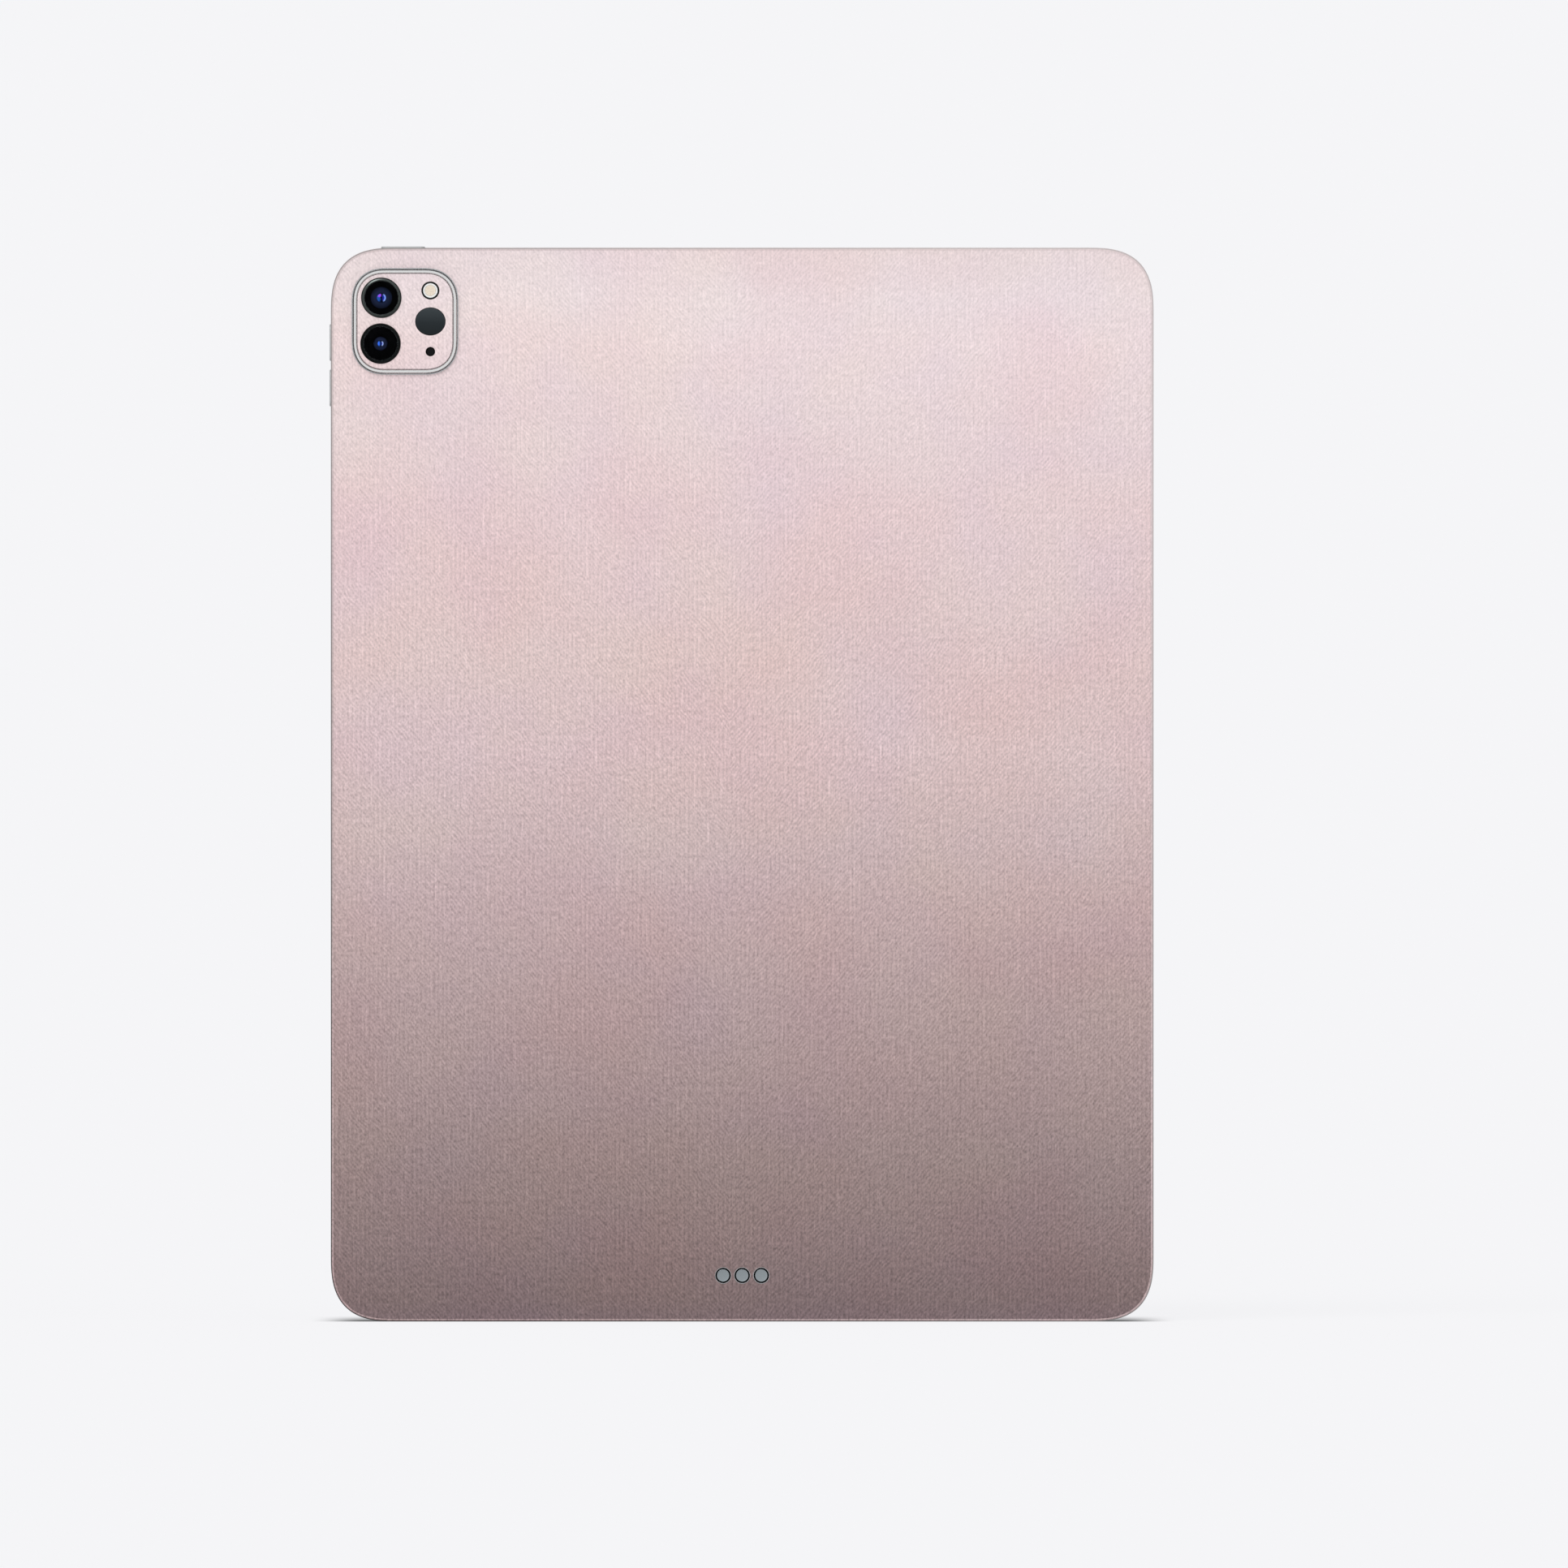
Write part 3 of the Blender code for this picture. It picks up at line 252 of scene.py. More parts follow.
@dataclass(frozen=True)
class LinenPrint(Finish):
    """A polyester film printed as pale linen and embossed with its weave.

    The eye gets a long gradient from light rose down to a brown rose, a twill whose lines lean
    opposite ways on the two halves, light slubs that run down the yarns, and soft blotches.

    Attributes:
        stops: Heights above the floor in millimetres, with the print's colour there.
        mirror: Where the two halves of the twill meet, in millimetres across.
        warp: Spacing of the upright yarns in millimetres.
        twill_across: Spacing of the twill lines across, in millimetres.
        twill_up: Spacing of the twill lines upwards, in millimetres.
        weave: Strength of the weave in the print.
        relief: Height of the embossing in millimetres.
        tallest: Height at which the gradient ends.
    """

    name: str = "linen_film_printed_embossed"
    colour: str = "#d0b8b8"
    roughness: float = 0.62
    specular: float = 0.3
    stops: tuple[tuple[float, str], ...] = ()
    mirror: float = -6.9
    warp: float = 1.13
    twill_across: float = 1.17
    twill_up: float = 1.4
    weave: float = 1.0
    relief: float = 0.02
    tallest: float = 281.0

    def paint(self, tree: NodeTree, shader: Node) -> None:
        """Prints the gradient, the weave and the blotches, and embosses the weave."""
        place = self.place(tree)
        split = add(tree, "SeparateXYZ", place)
        across = add(tree, "Math ADD", split.outputs["X"], split.outputs["Y"])
        upwards = add(tree, "Math ADD", split.outputs["Z"], split.outputs["Y"])
        cloth = add(tree, "CombineXYZ", across, upwards, 0.0)
        pattern = self.threads(tree, cloth, across, upwards)
        height = add(tree, "Math MULTIPLY", split.outputs["Z"], 1 / (self.tallest * MM))
        gradient = add(tree, "ValToRGB", height)
        ramp(gradient, [(up / self.tallest, code) for up, code in self.stops])
        tinted = self.blotches(tree, cloth, gradient.outputs["Color"])
        strength = add(tree, "MapRange", height, 0.0, 1.0, 0.37 * self.weave, 0.14 * self.weave)
        tone = add(tree, "Math MULTIPLY_ADD", pattern, strength, 1.0)
        printed = add(tree, "VectorMath MULTIPLY", tinted, tone)
        trimmed = self.trim(tree, split, printed.outputs[0])
        tree.links.new(trimmed, shader.inputs["Base Color"])
        gloss = add(tree, "MapRange", pattern, -1.0, 1.0, 0.70, 0.54)
        tree.links.new(gloss.outputs[0], shader.inputs["Roughness"])
        bump = add(
            tree, "Bump", named={"Strength": 0.55, "Distance": self.relief * MM, "Height": pattern}
        )
        tree.links.new(bump.outputs[0], shader.inputs["Normal"])
        shader.inputs["Sheen Weight"].default_value = 0.08
        shader.inputs["Sheen Roughness"].default_value = 0.5

    def trim(self, tree: NodeTree, split: Node, colour: NodeSocket) -> NodeSocket:
        """The print's colour along the film's borders, with the painted fold line where a subclass
        draws one. The back sheet has none.
        """
        return colour

    def threads(self, tree: NodeTree, cloth: Node, across: Node, upwards: Node) -> Node:
        """Draws the weave.

        Args:
            tree: The material's tree.
            cloth: The place on the film as a vector.
            across: Its first part.
            upwards: Its second part.

        Returns:
            A node whose value swings about 0, from dark hollows to light threads.
        """
        wander = add(tree, "TexNoise", named={"Vector": cloth, "Scale": 190.0, "Detail": 2.0})
        middle = add(tree, "Math ADD", across, -self.mirror * MM)
        half = add(tree, "Math ABSOLUTE", middle)
        lean = add(tree, "Math MULTIPLY", half, -2 * math.pi / (self.twill_across * MM))
        climb = add(tree, "Math MULTIPLY_ADD", upwards, 2 * math.pi / (self.twill_up * MM), lean)
        phase = add(tree, "Math MULTIPLY_ADD", wander, 12.0, climb)
        twill = add(tree, "Math SINE", phase)
        yarn = add(tree, "Math MULTIPLY", across, 2 * math.pi / (self.warp * MM))
        yarn_phase = add(tree, "Math MULTIPLY_ADD", wander, 2.5, yarn)
        warp = add(tree, "Math SINE", yarn_phase)
        # Where the twill shows and where the upright yarns show, in patches a few mm across
        patch = add(tree, "TexNoise", named={"Vector": cloth, "Scale": 210.0, "Detail": 2.0})
        share = add(tree, "MapRange", patch, 0.38, 0.62, 0.15, 1.0)
        rest = add(tree, "Math SUBTRACT", 1.0, share)
        twill_part = add(tree, "Math MULTIPLY", twill, share)
        warp_part = add(tree, "Math MULTIPLY", warp, rest)
        woven = add(tree, "Math ADD", twill_part, warp_part)
        # Slubs: thick places in single upright yarns, 0.4 mm wide and a few mm to 2 cm long
        stretched = add(tree, "Mapping", cloth, named={"Scale": (2300.0, 85.0, 1.0)})
        slub_noise = add(tree, "TexNoise", named={"Vector": stretched, "Scale": 1.0, "Detail": 1.0})
        slubs = add(tree, "MapRange", slub_noise, 0.58, 0.82, 0.0, 1.0)
        # Fibre grain: a real fibre is 0.02 mm, drawn ten times as coarse so that it shows
        fibre_place = add(tree, "Mapping", cloth, named={"Scale": (2600.0, 1500.0, 1.0)})
        fibres = add(tree, "TexNoise", named={"Vector": fibre_place, "Scale": 1.0, "Detail": 2.0})
        grain = add(tree, "MapRange", fibres, 0.25, 0.75, -0.75, 0.75)
        # Uneven spinning: light and dark places a couple of millimetres across
        uneven_place = add(tree, "Mapping", cloth, named={"Scale": (850.0, 740.0, 1.0)})
        uneven = add(tree, "TexNoise", named={"Vector": uneven_place, "Scale": 1.0, "Detail": 1.5})
        drift = add(tree, "MapRange", uneven, 0.3, 0.7, -0.40, 0.40)
        first = add(tree, "Math MULTIPLY_ADD", woven, 0.34, grain)
        second = add(tree, "Math ADD", first, drift)
        return add(tree, "Math MULTIPLY_ADD", slubs, 0.75, second)

    def blotches(self, tree: NodeTree, cloth: Node, colour: NodeSocket) -> Node:
        """Lets the print drift a little towards rose, beige and lilac.

        Args:
            tree: The material's tree.
            cloth: The place on the film as a vector.
            colour: The print's colour.

        Returns:
            A node with the drifting colour.
        """
        tint = colour
        for scale, seed, code in (
            (22.0, 1.7, "#fffafa"), (15.0, 4.1, "#fffefa"), (34.0, 8.3, "#fcfbff")
        ):
            shifted = add(tree, "Mapping", cloth, named={"Location": (seed, seed * 0.7, 0.0)})
            cloud = add(tree, "TexNoise", named={"Vector": shifted, "Scale": scale, "Detail": 2.0})
            much = add(tree, "MapRange", cloud, 0.42, 0.66, 0.0, 1.0)
            mixed = add(tree, "Mix", data_type="RGBA", blend_type="MULTIPLY")
            tree.links.new(much.outputs[0], mixed.inputs[0])
            tree.links.new(
                tint if isinstance(tint, NodeSocket) else tint.outputs[2], mixed.inputs[6]
            )
            mixed.inputs[7].default_value = linear(code)
            tint = mixed
        return tint


@dataclass(frozen=True)
class EdgePrint(LinenPrint):
    """The same film on the edges, with a painted line of shade and highlight along the fold onto
    the back.

    Attributes:
        crest: Depth of the fold's middle out of the back, in millimetres.
        line: Half the width of the line.
        dark: Colour of the painted shade where it is darkest, low on the left.
        light: Colour of the painted highlight where it is lightest, high on the right.
        reach: From the slab's middle to its sides and its ends, in millimetres.
    """

    crest: float = 3.12
    line: float = 0.25
    dark: str = "#262120"
    light: str = "#cdc4c3"
    reach: tuple[float, float] = (107.45, 140.3)

    def trim(self, tree: NodeTree, split: Node, colour: NodeSocket) -> NodeSocket:
        """Paints a line of shade and highlight along the fold over the print.

        Args:
            tree: The material's tree.
            split: The place on the film, in parts.
            colour: The print's colour.

        Returns:
            The colour with the line in it.
        """
        away = add(tree, "Math ADD", split.outputs["Y"], self.crest * MM)
        onset = add(tree, "MapRange", away, (self.line + 0.04) * MM, self.line * MM)
        painted_light_fade = add(
            tree, "MapRange", away, -(self.line + 0.08) * MM, (0.1 - self.line) * MM, 0.3, 1.0
        )
        inside = add(tree, "Math MULTIPLY", onset, painted_light_fade)
        # Painted shade and highlight on the fold: darker towards the bottom and the left, lighter
        # towards the top and the right
        wide, tall = self.reach
        rise = add(tree, "Math MULTIPLY_ADD", split.outputs["Z"], 0.35 / (tall * MM), 0.15)
        share = add(tree, "Math MULTIPLY_ADD", split.outputs["X"], 0.30 / (wide * MM), rise)
        painted_fold_light = add(tree, "ValToRGB", share)
        ramp(painted_fold_light, ((0.0, self.dark), (1.0, self.light)))
        mixed = add(tree, "Mix", data_type="RGBA")
        tree.links.new(inside.outputs[0], mixed.inputs[0])
        tree.links.new(colour, mixed.inputs[6])
        tree.links.new(painted_fold_light.outputs[0], mixed.inputs[7])
        return mixed.outputs[2]


@dataclass(frozen=True)
class BlackGlass(Finish):
    """Alkali glass over black ink, polished: deep black with one clean reflection.

    Attributes:
        film: How far a faint film of handling dulls the polish.
    """

    name: str = "cover_glass_polished_over_ink"
    colour: str = "#060607"
    roughness: float = 0.03
    specular: float = 0.3
    film: float = 0.03

    def paint(self, tree: NodeTree, shader: Node) -> None:
        """Sets the glass and lays the faint handling film over its polish."""
        shader.inputs["IOR"].default_value = 1.51
        cloud = add(
            tree, "TexNoise", named={"Vector": self.place(tree), "Scale": 30.0, "Detail": 3.0}
        )
        gloss = add(tree, "MapRange", cloud, 0.35, 0.75, self.roughness, self.roughness + self.film)
        tree.links.new(gloss.outputs[0], shader.inputs["Roughness"])


@dataclass(frozen=True)
class ScreenGlass(BlackGlass):
    """The front cover glass: an inked border round a display that is switched off.

    The eye gets a border that is a shade blacker than the display, and a dark round window for
    the front camera.

    Attributes:
        half_width: From the middle to the edge of the display, across, in millimetres.
        half_height: The same upwards.
        middle: Height of the middle of the display.
        camera_at: Height of the front camera.
    """

    name: str = "screen_glass_polished"
    half_width: float = 99.45
    half_height: float = 132.3
    middle: float = 140.55
    camera_at: float = 275.3

    def paint(self, tree: NodeTree, shader: Node) -> None:
        """Adds the border of ink and the camera's window to the black glass."""
        super().paint(tree, shader)
        split = add(tree, "SeparateXYZ", self.place(tree))
        lifted = add(tree, "Math ADD", split.outputs["Z"], -self.middle * MM)
        inside = []
        for part, reach in ((split.outputs["X"], self.half_width), (lifted, self.half_height)):
            size = add(tree, "Math ABSOLUTE", part)
            inside.append(add(tree, "Math LESS_THAN", size, reach * MM))
        display = add(tree, "Math MULTIPLY", *inside)
        ink = add(tree, "Mix", data_type="RGBA")
        tree.links.new(display.outputs[0], ink.inputs[0])
        ink.inputs[6].default_value = linear(self.colour)
        ink.inputs[7].default_value = linear("#0d0e11")
        centre = add(tree, "CombineXYZ", 0.0, 0.0, self.camera_at * MM)
        flat = add(tree, "CombineXYZ", split.outputs["X"], 0.0, split.outputs["Z"])
        away = add(tree, "VectorMath DISTANCE", flat, centre)
        window = add(tree, "MapRange", away.outputs["Value"], 0.9 * MM, 1.9 * MM, 1.0, 0.0)
        seen = add(tree, "Mix", data_type="RGBA")
        tree.links.new(window.outputs[0], seen.inputs[0])
        tree.links.new(ink.outputs[2], seen.inputs[6])
        seen.inputs[7].default_value = linear("#1a2138")
        tree.links.new(seen.outputs[2], shader.inputs["Base Color"])


@dataclass(frozen=True)
class ClearGlass(Finish):
    """Sapphire-hard lens glass, polished and clear, with a thin bloom against glare."""

    name: str = "lens_cover_glass_polished"
    colour: str = "#f4f6ff"
    roughness: float = 0.0
    specular: float = 0.08

    def paint(self, tree: NodeTree, shader: Node) -> None:
        """Makes the glass clear, with a weak bloom in its coating."""
        shader.inputs["Transmission Weight"].default_value = 1.0
        shader.inputs["IOR"].default_value = 1.3
        drift = add(tree, "TexNoise", named={"Vector": self.place(tree), "Scale": 60.0})
        gloss = add(tree, "MapRange", drift, 0.4, 0.8, 0.0, 0.012)
        tree.links.new(gloss.outputs[0], shader.inputs["Roughness"])


@dataclass(frozen=True)
class RoundGlass(Finish):
    """A coated lens element: rings of colour about its axis, as its coating shows them, with
    painted reflections that glow.

    Attributes:
        centre: Its axis, across and upwards in millimetres.
        reach: Radius at which the last ring stands, in millimetres.
        rings: Places from 0 at the axis to 1 at the reach, with the colour there.
        glints: Painted reflections of the coating, crescents that glow by emission: middle and
            half-spread in degrees, inner and outer radius as shares of the reach, and colour.
    """

    name: str = "lens_element_coated"
    roughness: float = 0.05
    specular: float = 0.02
    centre: tuple[float, float] = (0.0, 0.0)
    reach: float = 2.9
    rings: tuple[tuple[float, str], ...] = ((0.0, "#05060a"), (1.0, "#151a26"))
    glints: tuple[tuple[float, float, float, float, str], ...] = ()

    def paint(self, tree: NodeTree, shader: Node) -> None:
        """Draws the rings, then paints the coating's reflections as crescents that glow."""
        split = add(tree, "SeparateXYZ", self.place(tree))
        flat = add(tree, "CombineXYZ", split.outputs["X"], 0.0, split.outputs["Z"])
        axis = (self.centre[0] * MM, 0.0, self.centre[1] * MM)
        away = add(tree, "VectorMath DISTANCE", flat, axis)
        share = add(tree, "Math MULTIPLY", away.outputs["Value"], 1 / (self.reach * MM))
        colours = ramp(add(tree, "ValToRGB", share), self.rings)
        tree.links.new(colours.outputs[0], shader.inputs["Base Color"])
        shader.inputs["IOR"].default_value = 1.5
        # Painted reflections: the crescents glow by emission, though the lens is no lamp
        offset = add(tree, "VectorMath SUBTRACT", flat, axis)
        facing = add(tree, "VectorMath NORMALIZE", offset)
        glow = add(tree, "RGB").outputs[0]
        glow.default_value = (0.0, 0.0, 0.0, 1.0)
        for angle, spread, inner, outer, code in self.glints:
            turn = math.radians(angle)
            middle_way = (math.cos(turn), 0.0, math.sin(turn))
            along = add(tree, "VectorMath DOT_PRODUCT", facing, middle_way)
            near, far = math.cos(math.radians(0.55 * spread)), math.cos(math.radians(spread))
            swept = add(tree, "MapRange", along.outputs["Value"], far, near)
            rise = add(tree, "MapRange", share, inner, inner + 0.05)
            fall = add(tree, "MapRange", share, outer, outer - 0.06)
            band = add(tree, "Math MULTIPLY", rise, fall)
            much = add(tree, "Math MULTIPLY", band, swept)
            mixed = add(tree, "Mix", data_type="RGBA")
            tree.links.new(much.outputs[0], mixed.inputs[0])
            tree.links.new(glow, mixed.inputs[6])
            mixed.inputs[7].default_value = linear(code)
            glow = mixed.outputs[2]
        tree.links.new(glow, shader.inputs["Emission Color"])
        shader.inputs["Emission Strength"].default_value = 1.0


@dataclass(frozen=True)
class ReflectionPaintedGlass(BlackGlass):
    """Infrared-pass glass, polished: slate with a painted sky reflection, lighter from bottom to
    top.

    Attributes:
        low: Height of its bottom edge in millimetres.
        high: Height of its top edge.
    """

    name: str = "infrared_glass_polished"
    colour: str = "#2c3033"
    specular: float = 0.12
    low: float = 258.3
    high: float = 265.5

    def paint(self, tree: NodeTree, shader: Node) -> None:
        """Paints a reflection into the slate: dark at the bottom, lighter at the top."""
        super().paint(tree, shader)
        split = add(tree, "SeparateXYZ", self.place(tree))
        up = add(tree, "MapRange", split.outputs["Z"], self.low * MM, self.high * MM)
        # Painted reflection: the slate is lighter towards the top
        painted_light_fade = ramp(
            add(tree, "ValToRGB", up), ((0.0, "#25292b"), (0.45, "#2c3134"), (1.0, "#3f4548"))
        )
        tree.links.new(painted_light_fade.outputs[0], shader.inputs["Base Color"])


# ------------------------------------------------------------------ shapes


def span(node: str) -> tuple[Vector, Vector]:
    """Lowest and highest corner of a CAD node at rest, in millimetres."""
    low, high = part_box(node)
    return low / MM, high / MM


def middle(node: str) -> Vector:
    """The middle of a CAD node's box, in millimetres."""
    low, high = span(node)
    return (low + high) / 2


def disc(node: str) -> tuple[Vector, float, float, float]:
    """A round CAD node's middle and radius, and how far out of the back it starts and ends."""
    low, high = span(node)
    return (low + high) / 2, (high.x - low.x) / 2, -low.y, -high.y


def upright(place: Vector) -> Matrix:
    """The frame of an outline drawn in X and Z about a place, with its thickness along -Y."""
    turn = Matrix(((1, 0, 0), (0, 0, -1), (0, 1, 0)))
    return Matrix.Translation((place.x, 0, place.z)) @ turn.to_4x4()


def soft_rectangle(
    width: float, height: float, reach: float, power: float = 2.0, inset: float = 0.0,
    steps: int = 24
) -> Outline:
    """Outline of a rectangle with superellipse corners, moved inwards along its normals.

    Args:
        width: Across, in millimetres.
        height: Upwards.
        reach: How far along each side a corner starts.
        power: 2 is a round corner, and more is squarer.
        inset: How far the outline is moved inwards.
        steps: Faces in each corner.

    Returns:
        Points about the origin, anticlockwise. There are as many for every inset.
    """
    quarter = []
    for number in range(steps + 1):
        angle = math.pi / 2 * number / steps
        across = math.cos(angle) ** (2 / power)
        along = math.sin(angle) ** (2 / power)
        normal = Vector((across ** (power - 1), along ** (power - 1))).normalized()
        quarter.append((reach * across - inset * normal.x, reach * along - inset * normal.y))
    wide = width / 2 - reach
    tall = height / 2 - reach
    outline = [(wide + x, tall + y) for x, y in quarter]
    outline += [(-wide - x, tall + y) for x, y in reversed(quarter)]
    outline += [(-wide - x, -tall - y) for x, y in quarter]
    outline += [(wide + x, -tall - y) for x, y in reversed(quarter)]
    return outline


def slot(length: float, width: float, steps: int = 10) -> Outline:
    """Outline of a slot with round ends, along local X."""
    return soft_rectangle(length, width, width / 2, steps=steps)


def ellipse(radius_x: float, radius_z: float, sides: int = 96) -> Outline:
    """Outline of an ellipse, which is a circle where both radii are the same."""
    turns = [2 * math.pi * side / sides for side in range(sides)]
    return [(radius_x * math.cos(turn), radius_z * math.sin(turn)) for turn in turns]


def arc(
    inset: float, depth: float, radius: float, start: float, end: float, steps: int = 5
) -> list[tuple[float, float]]:
    """Points of a profile on a round edge.

    Args:
        inset: Place of the round's centre, inwards.
        depth: The same along the profile's other axis.
        radius: Of the round.
        start: First angle in degrees, from the inset axis.
        end: Last angle.
        steps: Faces along the round.

    Returns:
        Pairs of inset and depth.
    """
    turns = [math.radians(start + (end - start) * step / steps) for step in range(steps + 1)]
    return [(inset + radius * math.cos(turn), depth + radius * math.sin(turn)) for turn in turns]


def skin(name: str, rings: Sequence[Sequence[Vector]], loop: bool = False) -> Object:
    """A closed shell through rings that each hold as many points.

    Args:
        name: Of the new object.
        rings: Points of each ring in metres, in place.
        loop: Whether the last ring joins the first. Otherwise both ends are capped.

    Returns:
        The object, at the origin, with faces that point outwards.
    """
    shape = bmesh.new()
    rows = [[shape.verts.new(point) for point in ring] for ring in rings]
    pairs = list(zip(rows, rows[1:]))
    if loop:
        pairs.append((rows[-1], rows[0]))
    for first, second in pairs:
        for place in range(len(first)):
            after = (place + 1) % len(first)
            shape.faces.new((first[place], first[after], second[after], second[place]))
    if not loop:
        shape.faces.new(rows[0])
        shape.faces.new(rows[-1])
    bmesh.ops.remove_doubles(shape, verts=shape.verts, dist=1e-7)
    flat = [face for face in shape.faces if face.calc_area() < 1e-14]
    bmesh.ops.delete(shape, geom=flat, context="FACES_ONLY")
    bmesh.ops.recalc_face_normals(shape, faces=shape.faces)
    mesh = bpy.data.meshes.new(name)
    shape.to_mesh(mesh)
    shape.free()
    item = bpy.data.objects.new(name, mesh)
    bpy.context.scene.collection.objects.link(item)
    return item


def shell(
    name: str, profile: Iterable[tuple[float, float]], outline: Callable[[float], Outline],
    frame: Matrix, loop: bool = False
) -> Object:
    """A profile carried round an outline.

    Args:
        name: Of the new object.
        profile: Pairs of inset and height, the height along local Z, in millimetres.
        outline: Gives the outline at an inset.
        frame: Takes local places to the world, in millimetres.
        loop: Whether the profile closes on itself, as for a ring.

    Returns:
        The closed shell.
    """
    rings = [
        [frame @ Vector((x, y, height)) * MM for x, y in outline(inset)]
        for inset, height in profile
    ]
    return skin(name, rings, loop)


def prism(name: str, outline: Outline, low: float, high: float, frame: Matrix) -> Object:
    """A flat outline given thickness from low to high along local Z of a frame."""
    return shell(name, [(0.0, low), (0.0, high)], lambda _: outline, frame)


def turned(
    name: str, profile: Sequence[tuple[float, float]], at: Vector, loop: bool = False,
    sides: int = 96
) -> Object:
    """A turned piece on an axis along Y.

    Args:
        name: Of the new object.
        profile: Pairs of radius and depth out of the back, in millimetres.
        at: Its axis. Only its X and Z are used.
        loop: Whether the profile closes on itself.
        sides: Faces round the axis.

    Returns:
        The closed piece.
    """
    frame = upright(at)
    return shell(name, profile, lambda radius: ellipse(radius, radius, sides), frame, loop)


def plain(item: Object) -> None:
    """Makes the evaluated shape of an object its own mesh, with no modifier left."""
    graph = bpy.context.evaluated_depsgraph_get()
    graph.update()
    mesh = bpy.data.meshes.new_from_object(item.evaluated_get(graph))
    item.modifiers.clear()
    item.data = mesh


def combine(item: Object, way: Way, others: Sequence[Object]) -> None:
    """Cuts others out of an object, or joins them to it, and removes them.

    Args:
        item: The object that changes.
        way: Whether to cut or to join.
        others: Closed helpers.
    """
    group = bpy.data.collections.new(f"{item.name}_helpers")
    for other in others:
        group.objects.link(other)
    change = item.modifiers.new("change", "BOOLEAN")
    change.operation = way.value
    change.solver = "EXACT"
    change.operand_type = "COLLECTION"
    change.collection = group
    plain(item)
    for other in others:
        bpy.data.objects.remove(other, do_unlink=True)
    bpy.data.collections.remove(group)


@dataclass(frozen=True)
class Duty:
    """What a finished piece stands for.

    Attributes:
        body: The body that it rides on.
        slot: The record's material slot. It is not used.
        nodes: CAD nodes that it replaces.
    """

    slot: str
    nodes: tuple[str, ...] = ()
    body: str = "slab"


def hand_over(item: Object, finish: Finish | None, duty: Duty) -> Object:
    """Shades a piece, dresses it and gives it to its body.

    Args:
        item: The piece, in place.
        finish: What it wears, or nothing where its faces are dressed already.
        duty: What it stands for.

    Returns:
        The same piece.
    """
    if finish:
        item.data.materials.clear()
        item.data.materials.append(finish.material())
    item.data.shade_smooth()
    item.data.set_sharp_from_angle(angle=math.radians(38))
    weigh = item.modifiers.new("even_shading", "WEIGHTED_NORMAL")
    weigh.keep_sharp = True
    plain(item)
    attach(item, duty.body)
    if duty.nodes:
        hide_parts(*duty.nodes)
    LOG.info("%s: %d faces, on %s", item.name, len(item.data.polygons), duty.body)
    return item


class Side(Enum):
    """A side of the slab, as the direction that it faces."""

    LEFT = (-1.0, 0.0)
    RIGHT = (1.0, 0.0)
    TOP = (0.0, 1.0)
    BOTTOM = (0.0, -1.0)

    def frame(self, x: float, y: float, z: float) -> Matrix:
        """A frame on this side, in millimetres: local Z points out and local Y is world Y."""
        turn = math.atan2(self.value[0], self.value[1])
        return Matrix.Translation((x, y, z)) @ Matrix.Rotation(turn, 4, "Y")


def make_tree(name: str, sizes: dict[str, Any], takes_mesh: bool) -> NodeTree:
    """Starts a Geometry Nodes tree with named size inputs.

    Args:
        name: Of the tree.
        sizes: Names of the inputs with their values, which give the sockets' types.
        takes_mesh: Whether the mesh that it sits on goes in.

    Returns:
        The tree, with its group input and output nodes.
    """
    tree = bpy.data.node_groups.new(name, "GeometryNodeTree")
    tree.interface.new_socket("Geometry", in_out="OUTPUT", socket_type="NodeSocketGeometry")
    if takes_mesh:
        tree.interface.new_socket("Geometry", in_out="INPUT", socket_type="NodeSocketGeometry")
    kinds = {int: "Int", float: "Float", tuple: "Vector"}
    for key, value in sizes.items():
        kind = f"NodeSocket{kinds[type(value)]}"
        tree.interface.new_socket(key, in_out="INPUT", socket_type=kind)
    return tree


def end_tree(tree: NodeTree, shape: Node, finish: Finish) -> None:
    """Ends a tree in Realize Instances, Set Material and the group output."""
    real = add(tree, "GeometryNodeRealizeInstances", shape)
    dressed = add(tree, "GeometryNodeSetMaterial", real, named={"Material": finish.material()})
    add(tree, "NodeGroupOutput", dressed)


def run_tree(item: Object, tree: NodeTree, sizes: dict[str, Any]) -> None:
    """Runs a tree on an object once, and keeps its result as the object's plain mesh.

    Args:
        item: The object.
        tree: The Geometry Nodes tree.
        sizes: Values of its named inputs.
    """
    nodes = item.modifiers.new(tree.name, "NODES")
    nodes.node_group = tree
    for entry in tree.interface.items_tree:
        if entry.item_type == "SOCKET" and entry.in_out == "INPUT" and entry.name in sizes:
            nodes[entry.identifier] = sizes[entry.name]
    plain(item)


# ------------------------------------------------------------------ the finishes in use

ALUMINIUM = GrainedFinish(
    # Bead-blasted and anodised: a soft grey metal whose highlights blur along every round
    "aluminium_bead_blasted_anodised", "#b4b7ba", roughness=0.30, metallic=1.0, grain=0.22,
    tone=0.03, gloss=0.05, relief=0.004,
)
BUTTON_METAL = GrainedFinish(
    # Bead-blasted and anodised silver: so fine and even that it reads almost matt
    "aluminium_blasted_silver", "#c6c9c9", roughness=0.48, metallic=0.25, grain=0.2, tone=0.02,
    gloss=0.03, relief=0.001,
)
RING_METAL = GrainedFinish(
    # Turned and polished before anodising: brighter, with crisp light and dark lines
    "aluminium_polished_anodised", "#d3d4d4", roughness=0.27, metallic=1.0, grain=0.6, tone=0.012,
    gloss=0.02, relief=0.0002,
)
